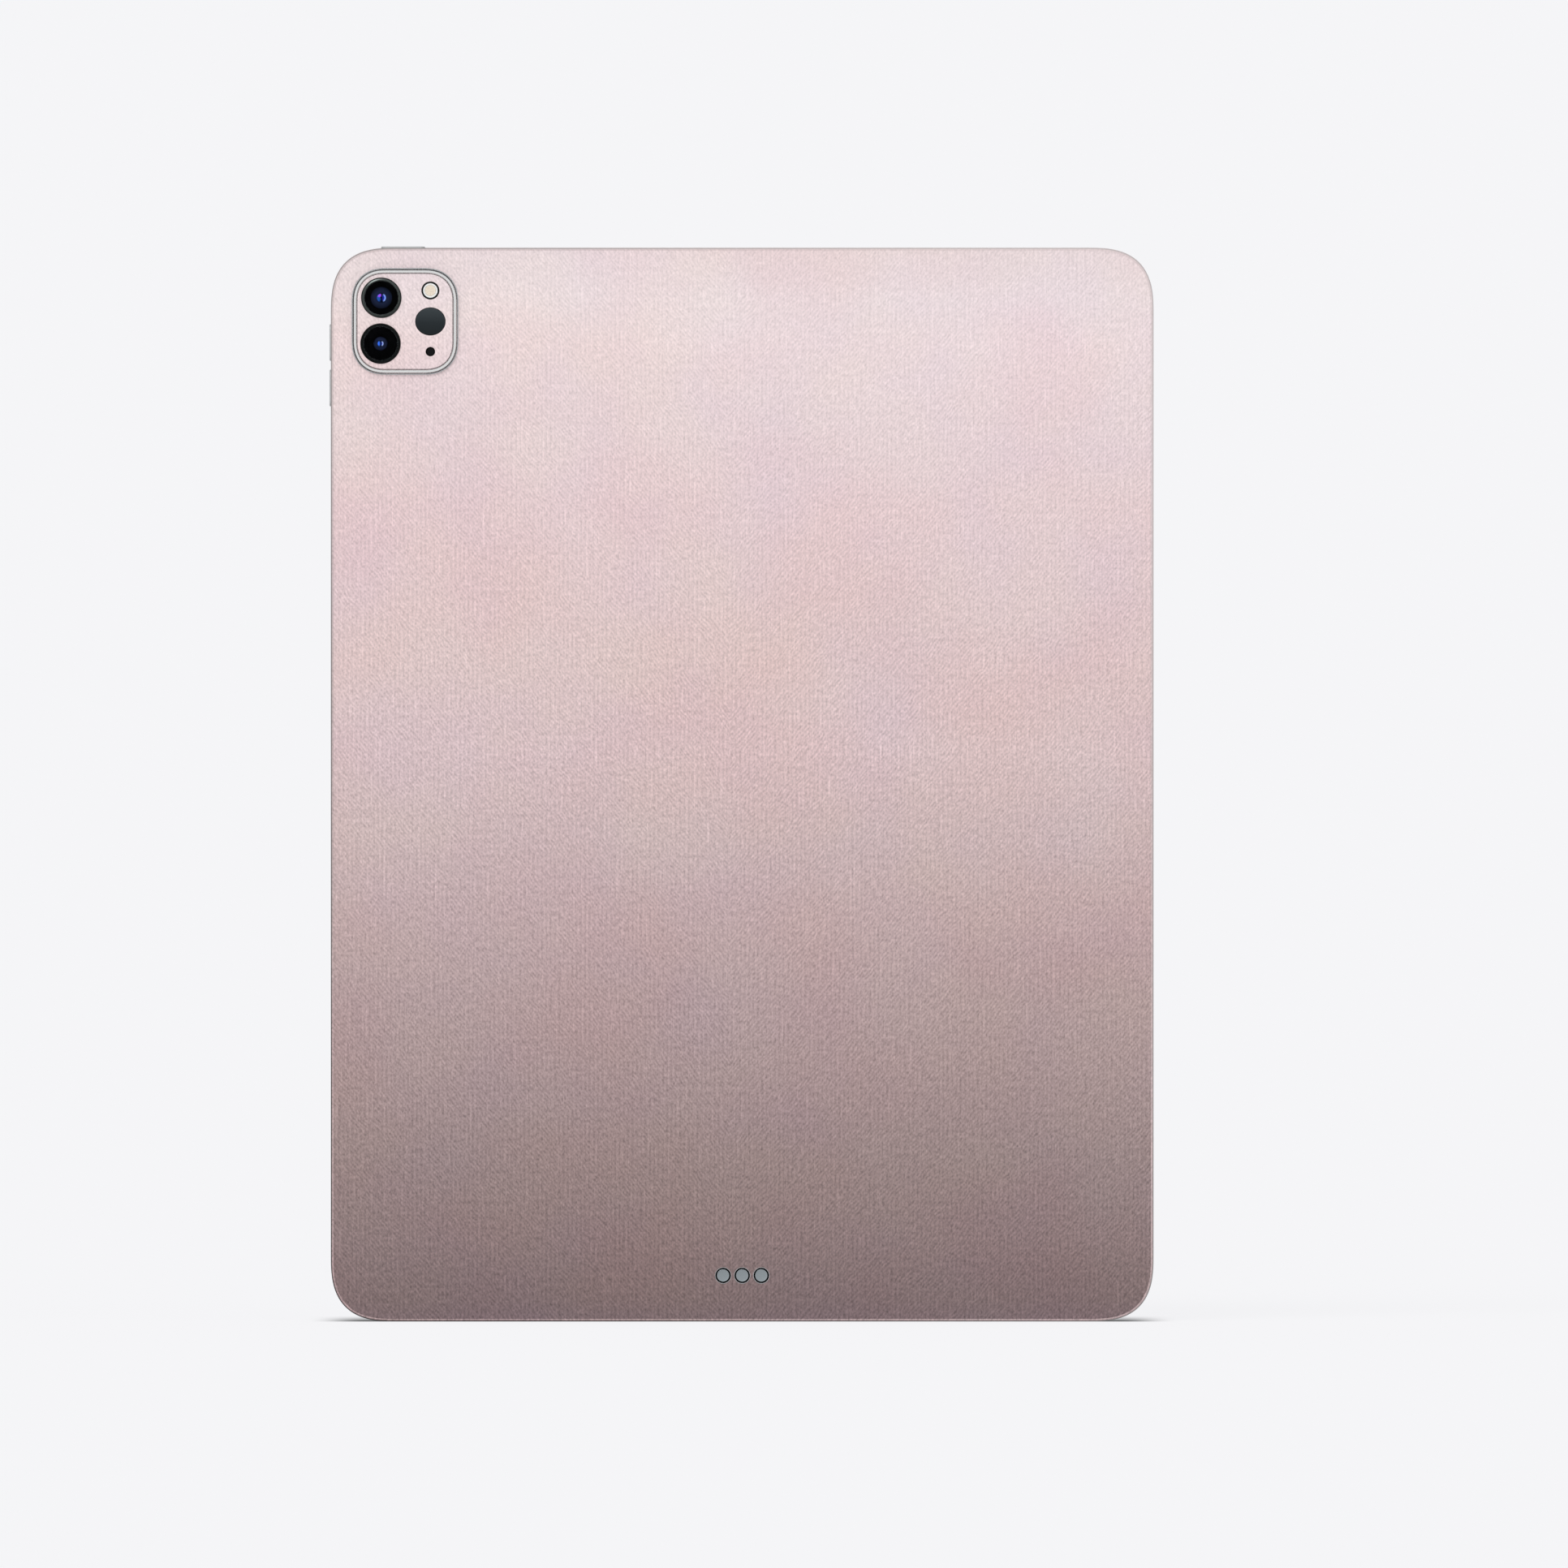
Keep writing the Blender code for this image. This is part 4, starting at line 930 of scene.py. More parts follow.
DARK_METAL = GrainedFinish(
    # Anodised black: a dark ring that still takes a metal's edge light
    "aluminium_anodised_black", "#2b2f2f", roughness=0.28, metallic=1.0, grain=0.2, tone=0.05,
    gloss=0.04, relief=0.002,
)
SLATE_METAL = GrainedFinish(
    # Anodised slate and polished: a ring that is lighter on the side of the key light
    "aluminium_anodised_slate", "#505654", roughness=0.24, metallic=1.0, grain=0.2, tone=0.04,
    gloss=0.04, relief=0.001,
)
STEEL = GrainedFinish(
    # Cold-rolled stainless sheet, stamped: fine streaky grey
    "stainless_steel_stamped", "#a4a5a6", roughness=0.30, metallic=1.0, grain=0.15, tone=0.05,
    gloss=0.06, relief=0.003,
)
CONTACT_METAL = GrainedFinish(
    # Nickel-palladium plate on copper: a blue-grey satin
    "nickel_palladium_plated_satin", "#858c90", roughness=0.34, metallic=1.0, grain=0.12, tone=0.05,
    gloss=0.05, relief=0.003,
)
GOLD = GrainedFinish(
    # Hard gold flash on the port's contacts: warm and slightly worn
    "gold_flash_plated", "#d9b36a", roughness=0.28, metallic=1.0, grain=0.1, tone=0.06, gloss=0.06,
    relief=0.001,
)
BLACK_PLASTIC = GrainedFinish(
    # Glass-filled nylon, moulded: matt black with a fine speckle
    "glass_filled_nylon_moulded", "#131415", roughness=0.48, specular=0.3, grain=0.15, tone=0.18,
    gloss=0.08, relief=0.008,
)
LENS_BLACK = GrainedFinish(
    # Blackened aluminium baffles: they swallow light, so the lens reads deep
    "baffle_blackened_matt", "#0a0a0b", roughness=0.5, specular=0.0, grain=0.1, tone=0.2,
    gloss=0.05, relief=0.004,
)
PALE_PLASTIC = GrainedFinish(
    # Glass-filled polymer that lets charging fields through, moulded and tumbled satin
    "polymer_window_moulded_satin", "#dbdddd", roughness=0.38, grain=0.14, tone=0.03, gloss=0.05,
    relief=0.003,
)
REFLECTOR = GrainedFinish(
    # White polycarbonate, moulded glossy: the bright ring inside the flash
    "polycarbonate_reflector_moulded", "#f2f3f1", roughness=0.25, grain=0.2, tone=0.02, gloss=0.03,
    relief=0.001,
)
PHOSPHOR = GrainedFinish(
    # Silicone lens over yellow phosphor: a cream that shifts from facet to facet
    "silicone_over_phosphor_moulded", "#efe3d2", roughness=0.22, grain=0.5, tone=0.06, gloss=0.08,
    relief=0.006,
)
MESH = GrainedFinish(
    # Woven steel acoustic gauze, blackened: black with tiny dull sparks
    "acoustic_gauze_blackened", "#0b0b0c", roughness=0.6, specular=0.12, grain=0.09, tone=0.5,
    gloss=0.1, relief=0.02,
)
RUBBER = GrainedFinish(
    # Silicone foam gasket, die-cut
    "silicone_foam_die_cut", "#1b1b1c", roughness=0.8, grain=0.2, tone=0.12, gloss=0.05,
    relief=0.01,
)
POUCH = GrainedFinish(
    # Aluminium-laminate battery pouch, pressed: dark satin with faint creases
    "pouch_laminate_pressed", "#2e3033", roughness=0.42, grain=2.5, tone=0.08, gloss=0.08,
    relief=0.02,
)
BOARD = GrainedFinish(
    # Epoxy-glass board under black-green solder mask: the glass cloth just shows
    "epoxy_glass_solder_masked", "#17352a", roughness=0.42, grain=0.6, tone=0.16, gloss=0.08,
    relief=0.01,
)
RIBBON = GrainedFinish(
    # Polyimide flexible circuit, laminated: amber brown
    "polyimide_flex_laminated", "#7a4a22", roughness=0.35, grain=0.8, tone=0.1, gloss=0.06,
    relief=0.004,
)
GRAPHITE = GrainedFinish(
    # Ferrite sheet over a wound coil, pressed
    "ferrite_pressed", "#3a3a3c", roughness=0.5, metallic=0.2, grain=0.3, tone=0.12, gloss=0.06,
    relief=0.006,
)
DISPLAY = GrainedFinish(
    # Polarised liquid-crystal cell, laminated: blue-black when it is off
    "liquid_crystal_cell_laminated", "#0d0f14", roughness=0.18, grain=0.3, tone=0.08, gloss=0.02,
    relief=0.001,
)
BACK_PRINT = LinenPrint(
    # The film's own place gives the gradient, so every patch of it on the back lines up
    stops=(
        (0.0, "#79676a"), (6.0, "#7c6a6a"), (23.0, "#8a7777"), (44.0, "#978483"), (65.0, "#a69190"),
        (87.0, "#b29c9c"), (108.0, "#bfa8a8"), (129.0, "#cbb6b5"), (150.0, "#d5bfc0"),
        (172.0, "#dac4c4"), (193.0, "#dec9ca"), (214.0, "#e2cdce"), (235.0, "#e5d3d4"),
        (256.0, "#ead9da"), (268.0, "#ebdddd"), (281.0, "#e8d9d9")
    ),
)
EDGE_PRINT = EdgePrint(
    # On the edges the print stays light rose all the way down
    name="linen_film_edge_printed_embossed",
    stops=(
        (0.0, "#cbb1b2"), (12.0, "#cbb1b2"), (33.0, "#cdb5b5"), (54.0, "#d2baba"),
        (87.0, "#d3bbbb"), (118.0, "#d4bfbe"), (172.0, "#dcc9c9"), (214.0, "#dfcdcf"),
        (267.0, "#e7d8d8"), (281.0, "#e7d5d5")
    ),
)


# ------------------------------------------------------------------ the slab's outside


@dataclass
class Housing:
    """The aluminium housing, with everything that is cut through its walls.

    Attributes:
        corner_reach: How far along each side a corner starts, in millimetres.
        corner_power: Squareness of the corners.
        edge_round: Radius of the round along the back and the rim.
        rim_wall: Lip round the glass.
        side_wall: Thickness of the walls.
        back_wall: Thickness of the back.
        ledge_drop: From the rim down to the ledge that carries the glass.
        corner_steps: Faces in each corner.
        hole: Diameter of a speaker hole.
        pitch: From one speaker hole to the next.
        holes: Speaker holes in a row.
    """

    corner_reach: float = 17.0
    corner_power: float = 2.8
    edge_round: float = 0.3
    rim_wall: float = 0.9
    side_wall: float = 3.0
    back_wall: float = 1.0
    ledge_drop: float = 0.85
    corner_steps: int = 32
    hole: float = 1.5
    pitch: float = 2.6
    holes: int = 8

    def __post_init__(self) -> None:
        """Reads the housing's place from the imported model."""
        self.low, self.high = span("rear_housing")
        self.centre = (self.low + self.high) / 2
        self.edge_y = middle("power_button").y
        self.frame = upright(self.centre)

    def outline(self, inset: float) -> Outline:
        """The slab's outline, moved inwards by an inset."""
        size = self.high - self.low
        return soft_rectangle(
            size.x, size.z, self.corner_reach, self.corner_power, inset, self.corner_steps
        )

    def edge_slot(
        self, name: str, node: str, side: Side, clear: float, low: float, high: float
    ) -> Object:
        """A slot-shaped cutter about a piece that shows in the edge.

        Args:
            name: Of the cutter.
            node: The CAD node that shows there.
            side: The side that it faces.
            clear: Gap to leave round it.
            low: Inner end of the cutter, from the metal edge.
            high: Its outer end.

        Returns:
            The cutter.
        """
        low_corner, high_corner = span(node)
        size = high_corner - low_corner
        length = size.z if side in (Side.LEFT, Side.RIGHT) else size.x
        if node in BUTTON_LENGTHS:
            length = BUTTON_LENGTHS[node]
        outline = slot(length + 2 * clear, size.y + 2 * clear)
        return prism(name, outline, low, high, self.frame_at(node, side))

    def frame_at(self, node: str, side: Side) -> Matrix:
        """The frame on the metal edge beside a node."""
        place = middle(node)
        x = {Side.LEFT: self.low.x, Side.RIGHT: self.high.x}.get(side, place.x)
        z = {Side.BOTTOM: self.low.z, Side.TOP: self.high.z}.get(side, place.z)
        return side.frame(x, self.edge_y, z)

    def build(self) -> None:
        """Builds the housing and gives it to the slab."""
        back = -self.low.y
        rim = -self.high.y
        bend = self.edge_round
        profile = arc(bend, back - bend, bend, 90, 180)
        profile += arc(bend, rim + bend, bend, 180, 270)
        profile += [
            (self.rim_wall, rim), (self.rim_wall, rim + self.ledge_drop),
            (self.side_wall, rim + self.ledge_drop), (self.side_wall, back - self.back_wall)
        ]
        item = shell("housing_shell", profile, self.outline, self.frame)
        through = self.side_wall + 1.0
        cutters = [
            self.edge_slot(f"{node}_slot", node, side, 0.2, -through, 1.0)
            for node, side in BUTTON_SIDES.items()
        ]
        cutters.append(
            self.edge_slot("window_slot", "pencil_charging_window", Side.LEFT, 0.08, -through, 1.0)
        )
        cutters.append(self.edge_slot("port_slot", "usb_c_tube", Side.BOTTOM, 0.1, -7.6, 1.0))
        cutters.append(CameraIsland().opening("island_slot", -0.1, 1.0, 5.0))
        for node in CONTACT_PINS:
            frame = upright(middle(node))
            cutters.append(prism(f"{node}_slot", ellipse(2.03, 2.03, 64), 1.0, 5.0, frame))
        combine(item, Way.CUT, cutters)
        self.drill(item)
        duty = Duty("aluminium", ("rear_housing",))
        hand_over(item, None, duty)

    def drill(self, item: Object) -> None:
        """Drills the four rows of speaker holes with Geometry Nodes.

        Args:
            item: The housing.
        """
        depth = 2 * (self.side_wall + 0.6)
        sizes = {
            "Row Middle": abs(middle("speaker_top_left").x) * MM, "Edge Depth": self.edge_y * MM,
            "Top": self.high.z * MM, "Bottom": self.low.z * MM, "Pitch": self.pitch * MM,
            "Radius": self.hole / 2 * MM, "Depth": depth * MM, "Count": self.holes
        }
        tree = make_tree("drill_speaker_rows", sizes, takes_mesh=True)
        given = add(tree, "NodeGroupInput").outputs
        step = add(tree, "CombineXYZ", given["Pitch"])
        last = add(tree, "Math ADD", given["Count"], -1.0)
        length = add(tree, "Math MULTIPLY", given["Pitch"], last)
        half = add(tree, "Math MULTIPLY", length, -0.5)
        other = add(tree, "Math MULTIPLY", given["Row Middle"], -1.0)
        rows = add(tree, "GeometryNodeJoinGeometry")
        for row in (given["Row Middle"], other.outputs[0]):
            first = add(tree, "Math ADD", half, row)
            for level in (given["Top"], given["Bottom"]):
                start = add(tree, "CombineXYZ", first, given["Edge Depth"], level)
                line = add(
                    tree, "GeometryNodeMeshLine",
                    named={"Count": given["Count"], "Start Location": start, "Offset": step}
                )
                tree.links.new(line.outputs[0], rows.inputs[0])
        drill = add(
            tree, "GeometryNodeMeshCylinder",
            named={"Vertices": 28, "Radius": given["Radius"], "Depth": given["Depth"]}
        )
        drills = add(
            tree, "GeometryNodeInstanceOnPoints", rows, named={"Instance": drill.outputs["Mesh"]}
        )
        solid = add(tree, "GeometryNodeRealizeInstances", drills)
        cut = add(tree, "GeometryNodeMeshBoolean DIFFERENCE", solver="EXACT")
        tree.links.new(given["Geometry"], cut.inputs["Mesh 1"])
        tree.links.new(solid.outputs[0], cut.inputs["Mesh 2"])
        end_tree(tree, cut, ALUMINIUM)
        run_tree(item, tree, sizes)


@dataclass
class FilmWrap:
    """The printed film: one sheet on the back and four strips round the edge.

    Attributes:
        lip: Radius of the film's cut edge in millimetres.
        clear: Gap that the film leaves round what shows through it.
    """

    housing: Housing
    lip: float = 0.07
    clear: float = 0.25

    def build(self) -> None:
        """Builds the back sheet and the four strips."""
        self.build_back()
        low, high = span("edge_film_left")
        seam = (high.z - low.z) / 2 + 0.04
        self.build_strip("edge_film_left", self.side_path(-1, seam), Side.LEFT)
        self.build_strip("edge_film_right", self.side_path(1, seam), Side.RIGHT)
        self.build_strip("edge_film_top", self.end_path(1), Side.TOP)
        self.build_strip("edge_film_bottom", self.end_path(-1), Side.BOTTOM)

    def build_back(self) -> None:
        """Builds the sheet on the back, with its camera and contact openings."""
        low, high = span("back_film")
        inset = low.x - self.housing.low.x
        lip = self.lip / 6
        profile = [(inset, -high.y)]
        profile += [(inset, -low.y - lip)] + arc(inset + lip, -low.y - lip, lip, 180, 90, 3)[1:]
        item = shell("back_film_sheet", profile, self.housing.outline, self.housing.frame)
        cutters = [CameraIsland().opening("film_window", -0.25, 3.0, 4.0)]
        for node in CONTACT_PINS:
            frame = upright(middle(node))
            cutters.append(prism(f"{node}_film", ellipse(2.13, 2.13, 64), 3.0, 4.0, frame))
        combine(item, Way.CUT, cutters)
        hand_over(item, BACK_PRINT, Duty("linen_film", ("back_film",)))

    def side_path(self, sign: int, seam: float) -> Callable[[float], Outline]:
        """The straight path of a strip on a long side, from seam to seam."""
        half = (self.housing.high.x - self.housing.low.x) / 2
        return lambda inset: [(sign * (half - inset), -seam), (sign * (half - inset), seam)]

    def end_path(self, sign: int) -> Callable[[float], Outline]:
        """The path of a strip round one end of the slab, with both its corners."""
        gap = 0.01
        reach = self.housing.corner_reach
        seam = (self.housing.high.z - self.housing.low.z) / 2 - reach + gap

        def path(inset: float) -> Outline:
            """The strip's outline at an inset."""
            points = self.housing.outline(inset)
            points = [(x, z) for x, z in points if z * sign >= seam - gap - 1e-6]
            points.sort(key=lambda point: math.atan2(point[1] * sign, point[0]))
            first, last = points[0], points[-1]
            points[0] = (first[0], sign * seam)
            points[-1] = (last[0], sign * seam)
            return points

        return path

    def build_strip(self, node: str, path: Callable[[float], Outline], side: Side) -> None:
        """Builds one strip of film, which wraps the edge and the round beside the back sheet.

        Args:
            node: The CAD strip that it replaces.
            path: Gives its path at an inset.
            side: The side that it covers.
        """
        high = span(node)[1]
        lip = self.lip
        front = -high.y
        inner = -0.05
        outer = -0.25
        bend = self.housing.edge_round
        crest = -self.housing.low.y - bend
        section = arc(bend, crest, bend - inner, 90, 180, 6)
        section.append((inner, front))
        section += arc(outer + lip, front + lip, lip, 270, 180, 3)
        section += arc(bend, crest, bend - outer, 180, 90, 9)
        seam = span("back_film")[0].x - self.housing.low.x - 0.01
        section += [(seam, crest + bend - outer), (seam, crest + bend - inner)]
        rows = []
        for inset, depth in section:
            rows.append([self.housing.frame @ Vector((x, z, depth)) * MM for x, z in path(inset)])
        rings = [[row[place] for row in rows] for place in range(len(rows[0]))]
        item = skin(f"{node}_strip", rings)
        cutters = []
        for shown, facing in {**BUTTON_SIDES, **OPENING_SIDES}.items():
            if facing is side:
                clear = self.clear + (0.2 if shown in BUTTON_SIDES else 0.0)
                cutters.append(
                    self.housing.edge_slot(f"{shown}_film", shown, side, clear, -1.0, 1.5)
                )
        if side in (Side.TOP, Side.BOTTOM):
            row = self.housing.pitch * (self.housing.holes - 1) + self.housing.hole
            outline = slot(row + 2 * self.clear, self.housing.hole + 2 * self.clear)
            for node_name in SPEAKER_NODES:
                if side.name.lower() in node_name:
                    frame = self.housing.frame_at(node_name, side)
                    cutters.append(prism(f"{node_name}_film", outline, -1.0, 1.5, frame))
        if cutters:
            combine(item, Way.CUT, cutters)
        hand_over(item, EDGE_PRINT, Duty("linen_film", (node,)))


# ------------------------------------------------------------------ camera island


@dataclass
class LensLook:
    """How one camera looks from outside.

    Attributes:
        node: Start of its CAD nodes' names.
        iris: Inner radius of the black mask under its cover, in millimetres.
        finish: Of its front lens element.
        metal: Of its ring.
        slope: The ring's turned face from its outer side inwards, as pairs of radius and
            height under the ring's top. Level crests catch light, and slopes read dark.
    """

    node: str
    iris: float
    finish: RoundGlass
    metal: GrainedFinish
    slope: tuple[tuple[float, float], ...]


@dataclass
class CameraIsland:
    """The raised island: trim ring, cover plate, film patch, cameras, flash and sensors.

    Attributes:
        reach: How far along each side its corners start, in millimetres.
        power: Squareness of the corners.
        steps: Faces in each corner.
        ring: Width of the trim ring.
        ledge: How far its inner ledge reaches further in.
        shoulder: Radius of the ring's shoulders.
        flange: How far its flange reaches out inside the housing.
    """

    reach: float = 8.6
    power: float = 2.3
    steps: int = 24
    ring: float = 1.2
    ledge: float = 1.0
    shoulder: float = 0.34
    flange: float = 1.2

    def __post_init__(self) -> None:
        """Reads the island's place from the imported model."""
        low, high = span("camera_trim_ring")
        self.centre = (low + high) / 2
        self.size = high.x - low.x - 2 * self.flange
        self.top = -low.y
        self.foot = -high.y
        self.frame = upright(self.centre)

    def outline(self, inset: float) -> Outline:
        """The island's outline, moved inwards by an inset."""
        return soft_rectangle(self.size, self.size, self.reach, self.power, inset, self.steps)

    def opening(self, name: str, inset: float, low: float, high: float) -> Object:
        """A cutter with the island's outline."""
        return prism(name, self.outline(inset), low, high, self.frame)

    def build(self) -> None:
        """Builds everything on the island."""
        self.build_ring()
        self.build_film()
        for look in self.lenses():
            self.build_lens(look)
        self.build_flash()
        self.build_sensors()

    def build_ring(self) -> None:
        """Builds the trim ring, with full round shoulders and the flange that holds it."""
        bend = self.shoulder
        seat = -span("camera_cover_plate")[1].y - 0.05
        shelf = self.foot + 0.5
        profile = [(-self.flange, self.foot), (-self.flange, shelf), (0.0, shelf)]
        profile += [(0.0, self.top - bend), (0.06, self.top - bend + 0.04)]
        profile += [(bend, self.top), (self.ring - bend + 0.03, self.top)]
        profile += [(self.ring - 0.05, self.top - 0.26), (self.ring, self.top - 0.32)]
        inner = self.ring + self.ledge
        profile += [(self.ring, seat), (inner, seat), (inner, self.foot)]
        item = shell("island_trim_ring", profile, self.outline, self.frame, loop=True)
        hand_over(item, RING_METAL, Duty("aluminium", ("camera_trim_ring",)))

    def build_film(self) -> None:
        """Builds the film patch on the cover plate, with an opening for each lens."""
        low, high = span("camera_film")
        inset = self.ring + 0.06
        lip = 0.06
        profile = [(inset, -high.y), (inset, -low.y - lip)]
        profile += arc(inset + lip, -low.y - lip, lip, 180, 90, 3)[1:]
        item = shell("island_film_patch", profile, self.outline, self.frame)
        cutters = []
        for node, gap in (
            ("wide_lens_ring", 0.1), ("ultrawide_lens_ring", 0.1), ("flash_bezel", 0.1),
            ("rear_microphone", 0.1), ("lidar_window", 0.1)
        ):
            start, end = span(node)
            outline = ellipse((end.x - start.x) / 2 + gap, (end.z - start.z) / 2 + gap, 72)
            place = middle(node)
            frame = upright(place)
            cutters.append(prism(f"{node}_film", outline, 4.0, 5.5, frame))
        combine(item, Way.CUT, cutters)
        hand_over(item, BACK_PRINT, Duty("linen_film", ("camera_film",)))

    def lenses(self) -> tuple[LensLook, LensLook]:
        """The two cameras, as they look from outside."""
        wide = middle("wide_lens_ring")
        ultrawide = middle("ultrawide_lens_ring")
        # Broadband coating: blue-black, with painted violet and blue reflections as crescents at
        # the pupil. The ultrawide camera has it on a smaller, steeper element
        return (
            LensLook(
                "wide", 2.95,
                RoundGlass(
                    name="wide_lens_element_coated", centre=(wide.x, wide.z), reach=2.9,
                    rings=(
                        (0.0, "#0b0d1a"), (0.40, "#0d1122"), (0.46, "#272f46"), (0.60, "#283048"),
                        (0.94, "#1d2434"), (1.0, "#0a0d14")
                    ),
                    glints=(
                        (180.0, 80.0, 0.08, 0.43, "#1d55a6"), (128.0, 42.0, 0.12, 0.38, "#a050f2"),
                        (0.0, 76.0, 0.08, 0.32, "#1c2698"), (0.0, 70.0, 0.26, 0.44, "#86a8f6")
                    )
                ),
                SLATE_METAL,
                (
                    (5.2, 0.34), (5.08, 0.2), (4.99, 0.15), (4.70, 0.03), (4.66, 0.09),
                    (4.63, 0.02), (4.55, 0.02)
                )
            ),
            LensLook(
                "ultrawide", 1.98,
                RoundGlass(
                    name="ultrawide_lens_element_coated", centre=(ultrawide.x, ultrawide.z),
                    reach=1.9,
                    rings=(
                        (0.0, "#0a0d1e"), (0.40, "#0c1124"), (0.50, "#29314a"), (0.85, "#272e44"),
                        (1.0, "#0a0d16")
                    ),
                    glints=(
                        (180.0, 80.0, 0.08, 0.43, "#3a74ee"), (0.0, 76.0, 0.08, 0.30, "#26389e"),
                        (0.0, 70.0, 0.24, 0.43, "#a6bdf0")
                    )
                ),
                DARK_METAL,
                (
                    (5.2, 0.34), (5.0, 0.14), (4.87, 0.02), (4.82, 0.02), (4.72, 0.13),
                    (4.69, 0.13), (4.60, 0.03), (4.55, 0.03)
                )
            )
        )

    def build_lens(self, look: LensLook) -> None:
        """Builds one camera: its ring, clear cover, mask, barrel and front element.

        Args:
            look: How it looks.
        """
        ring_node = f"{look.node}_lens_ring"
        cover_node = f"{look.node}_lens_cover"
        module_node = f"{look.node}_camera_module"
        at, radius, top, foot = disc(ring_node)
        cover_low, cover_high = span(cover_node)
        cover = (cover_high.x - cover_low.x) / 2
        seat = -cover_high.y - 0.05
        shank = 4.5
        head = 4.4
        profile = [(radius, head)]
        profile += [(out, top - drop) for out, drop in look.slope]
        profile += [
            (cover + 0.05, top - 0.12), (cover + 0.05, seat), (3.6, seat), (3.6, foot),
            (shank, foot), (shank, head)
        ]
        ring = turned(f"{look.node}_bezel", profile, at, loop=True)
        hand_over(ring, look.metal, Duty("aluminium", (ring_node,)))
        glass_top = -cover_low.y
        glass_foot = seat + 0.16
        profile = [(0.0, glass_foot), (cover, glass_foot), (cover, glass_top - 0.12)]
        profile += [(cover - 0.12, glass_top), (0.0, glass_top)]
        glass = turned(f"{look.node}_cover_glass", profile, at)
        hand_over(glass, ClearGlass(), Duty("lens_glass", (cover_node,)))
        mask_top = glass_foot - 0.03
        profile = [
            (look.iris, mask_top - 0.07), (look.iris, mask_top), (cover - 0.02, mask_top),
            (cover - 0.02, mask_top - 0.07)
        ]
        mask = turned(f"{look.node}_mask", profile, at, loop=True)
        hand_over(mask, LENS_BLACK, Duty("black_plastic"))
        self.build_barrel(look, module_node, at)

    def build_barrel(self, look: LensLook, module_node: str, at: Vector) -> None:
        """Builds the module behind a cover: base, stepped barrel and front element.

        Args:
            look: How the camera looks.
            module_node: The CAD node of the module.
            at: Its axis.
        """
        low, high = span(module_node)
        tip = -low.y
        reach = look.finish.reach
        side = high.x - low.x
        base = -high.y
        shoulder = tip - 2.9
        profile = [
            (0.0, shoulder - 0.4), (3.3, shoulder - 0.4), (3.3, tip - 0.1), (3.2, tip),
            (reach + 0.12, tip), (reach + 0.06, tip - 0.55), (reach - 0.3, tip - 0.6),
            (reach - 0.35, tip - 1.2), (0.0, tip - 1.2)
        ]
        barrel = turned(f"{look.node}_barrel", profile, at)
        frame = upright(at)
        foot = prism(
            f"{look.node}_base", soft_rectangle(side, side, 1.0, steps=6), base, shoulder, frame
        )
        combine(barrel, Way.JOIN, [foot])
        hand_over(barrel, LENS_BLACK, Duty("black_plastic", (module_node,)))
        rim = tip - 0.5
        crown = 0.42
        steps = 10
        profile = [(0.0, rim - 0.08), (reach, rim - 0.08)]
        for step in range(steps + 1):
            share = 1 - step / steps
            profile.append((reach * share, rim + crown * (1 - share**2)))
        element = turned(f"{look.node}_front_element", profile, at)
        hand_over(element, look.finish, Duty("lens_glass"))

    def build_flash(self) -> None:
        """Builds the flash: dark bezel, white reflector ring and faceted lens."""
        at, radius, top, foot = disc("flash_bezel")
        inner = radius - 0.27
        profile = [(radius, foot), (radius, top - 0.12)]
        profile += [(radius - 0.12, top), (inner + 0.06, top), (inner, top - 0.1), (inner, foot)]
        bezel = turned("flash_surround", profile, at, loop=True)
        hand_over(bezel, DARK_METAL, Duty("black_plastic", ("flash_bezel",)))
        _, lens_radius, top, foot = disc("flash_lens")
        window = 1.44
        profile = [
            (lens_radius, top - 0.7), (lens_radius, top - 0.05), (lens_radius - 0.05, top),
            (window + 0.12, top - 0.04), (window, top - 0.18), (window, top - 0.7)
        ]
        reflector = turned("flash_reflector", profile, at, loop=True)
        hand_over(reflector, REFLECTOR, Duty("pale_plastic"))
        profile = [(0.0, foot), (window - 0.03, foot), (window - 0.03, top - 0.16)]
        profile += [(window - 0.1, top - 0.1), (0.0, top - 0.1)]
        lens = turned("flash_facets", profile, at)
        self.stud(lens, at, top - 0.1)
        hand_over(lens, None, Duty("pale_plastic", ("flash_lens",)))

    def stud(self, lens: Object, at: Vector, top: float) -> None:
        """Covers the flash lens with small pyramid facets, with Geometry Nodes.

        Args:
            lens: The plain lens.
            at: Its axis.
            top: Depth of its front face out of the back.
        """
        sizes = {
            "Centre": tuple(Vector((at.x, -top, at.z)) * MM), "Reach": 1.28 * MM,
            "Facet": 0.34 * MM, "Rise": 0.09 * MM
        }
        tree = make_tree("stud_flash_lens", sizes, takes_mesh=True)
        given = add(tree, "NodeGroupInput").outputs
        across = add(tree, "Math MULTIPLY", given["Reach"], 2.0)
        count = add(tree, "Math DIVIDE", across, given["Facet"])
        grid = add(
            tree, "GeometryNodeMeshGrid",
            named={"Size X": across, "Size Y": across, "Vertices X": count, "Vertices Y": count}
        )
        place = add(tree, "GeometryNodeInputPosition")
        away = add(tree, "VectorMath LENGTH", place)
        outside = add(tree, "Math GREATER_THAN", away.outputs["Value"], given["Reach"])
        kept = add(
            tree, "GeometryNodeDeleteGeometry", grid.outputs["Mesh"], outside, domain="POINT"
        )
        facing = add(
            tree, "GeometryNodeTransform", kept,
            named={"Translation": given["Centre"], "Rotation": (math.pi / 2, 0.0, 0.0)}
        )
        corner = add(tree, "Math MULTIPLY", given["Facet"], 0.70)
        facet = add(
            tree, "GeometryNodeMeshCone",
            named={
                "Vertices": 4, "Radius Bottom": corner, "Radius Top": 0.0, "Depth": given["Rise"]
            }
        )
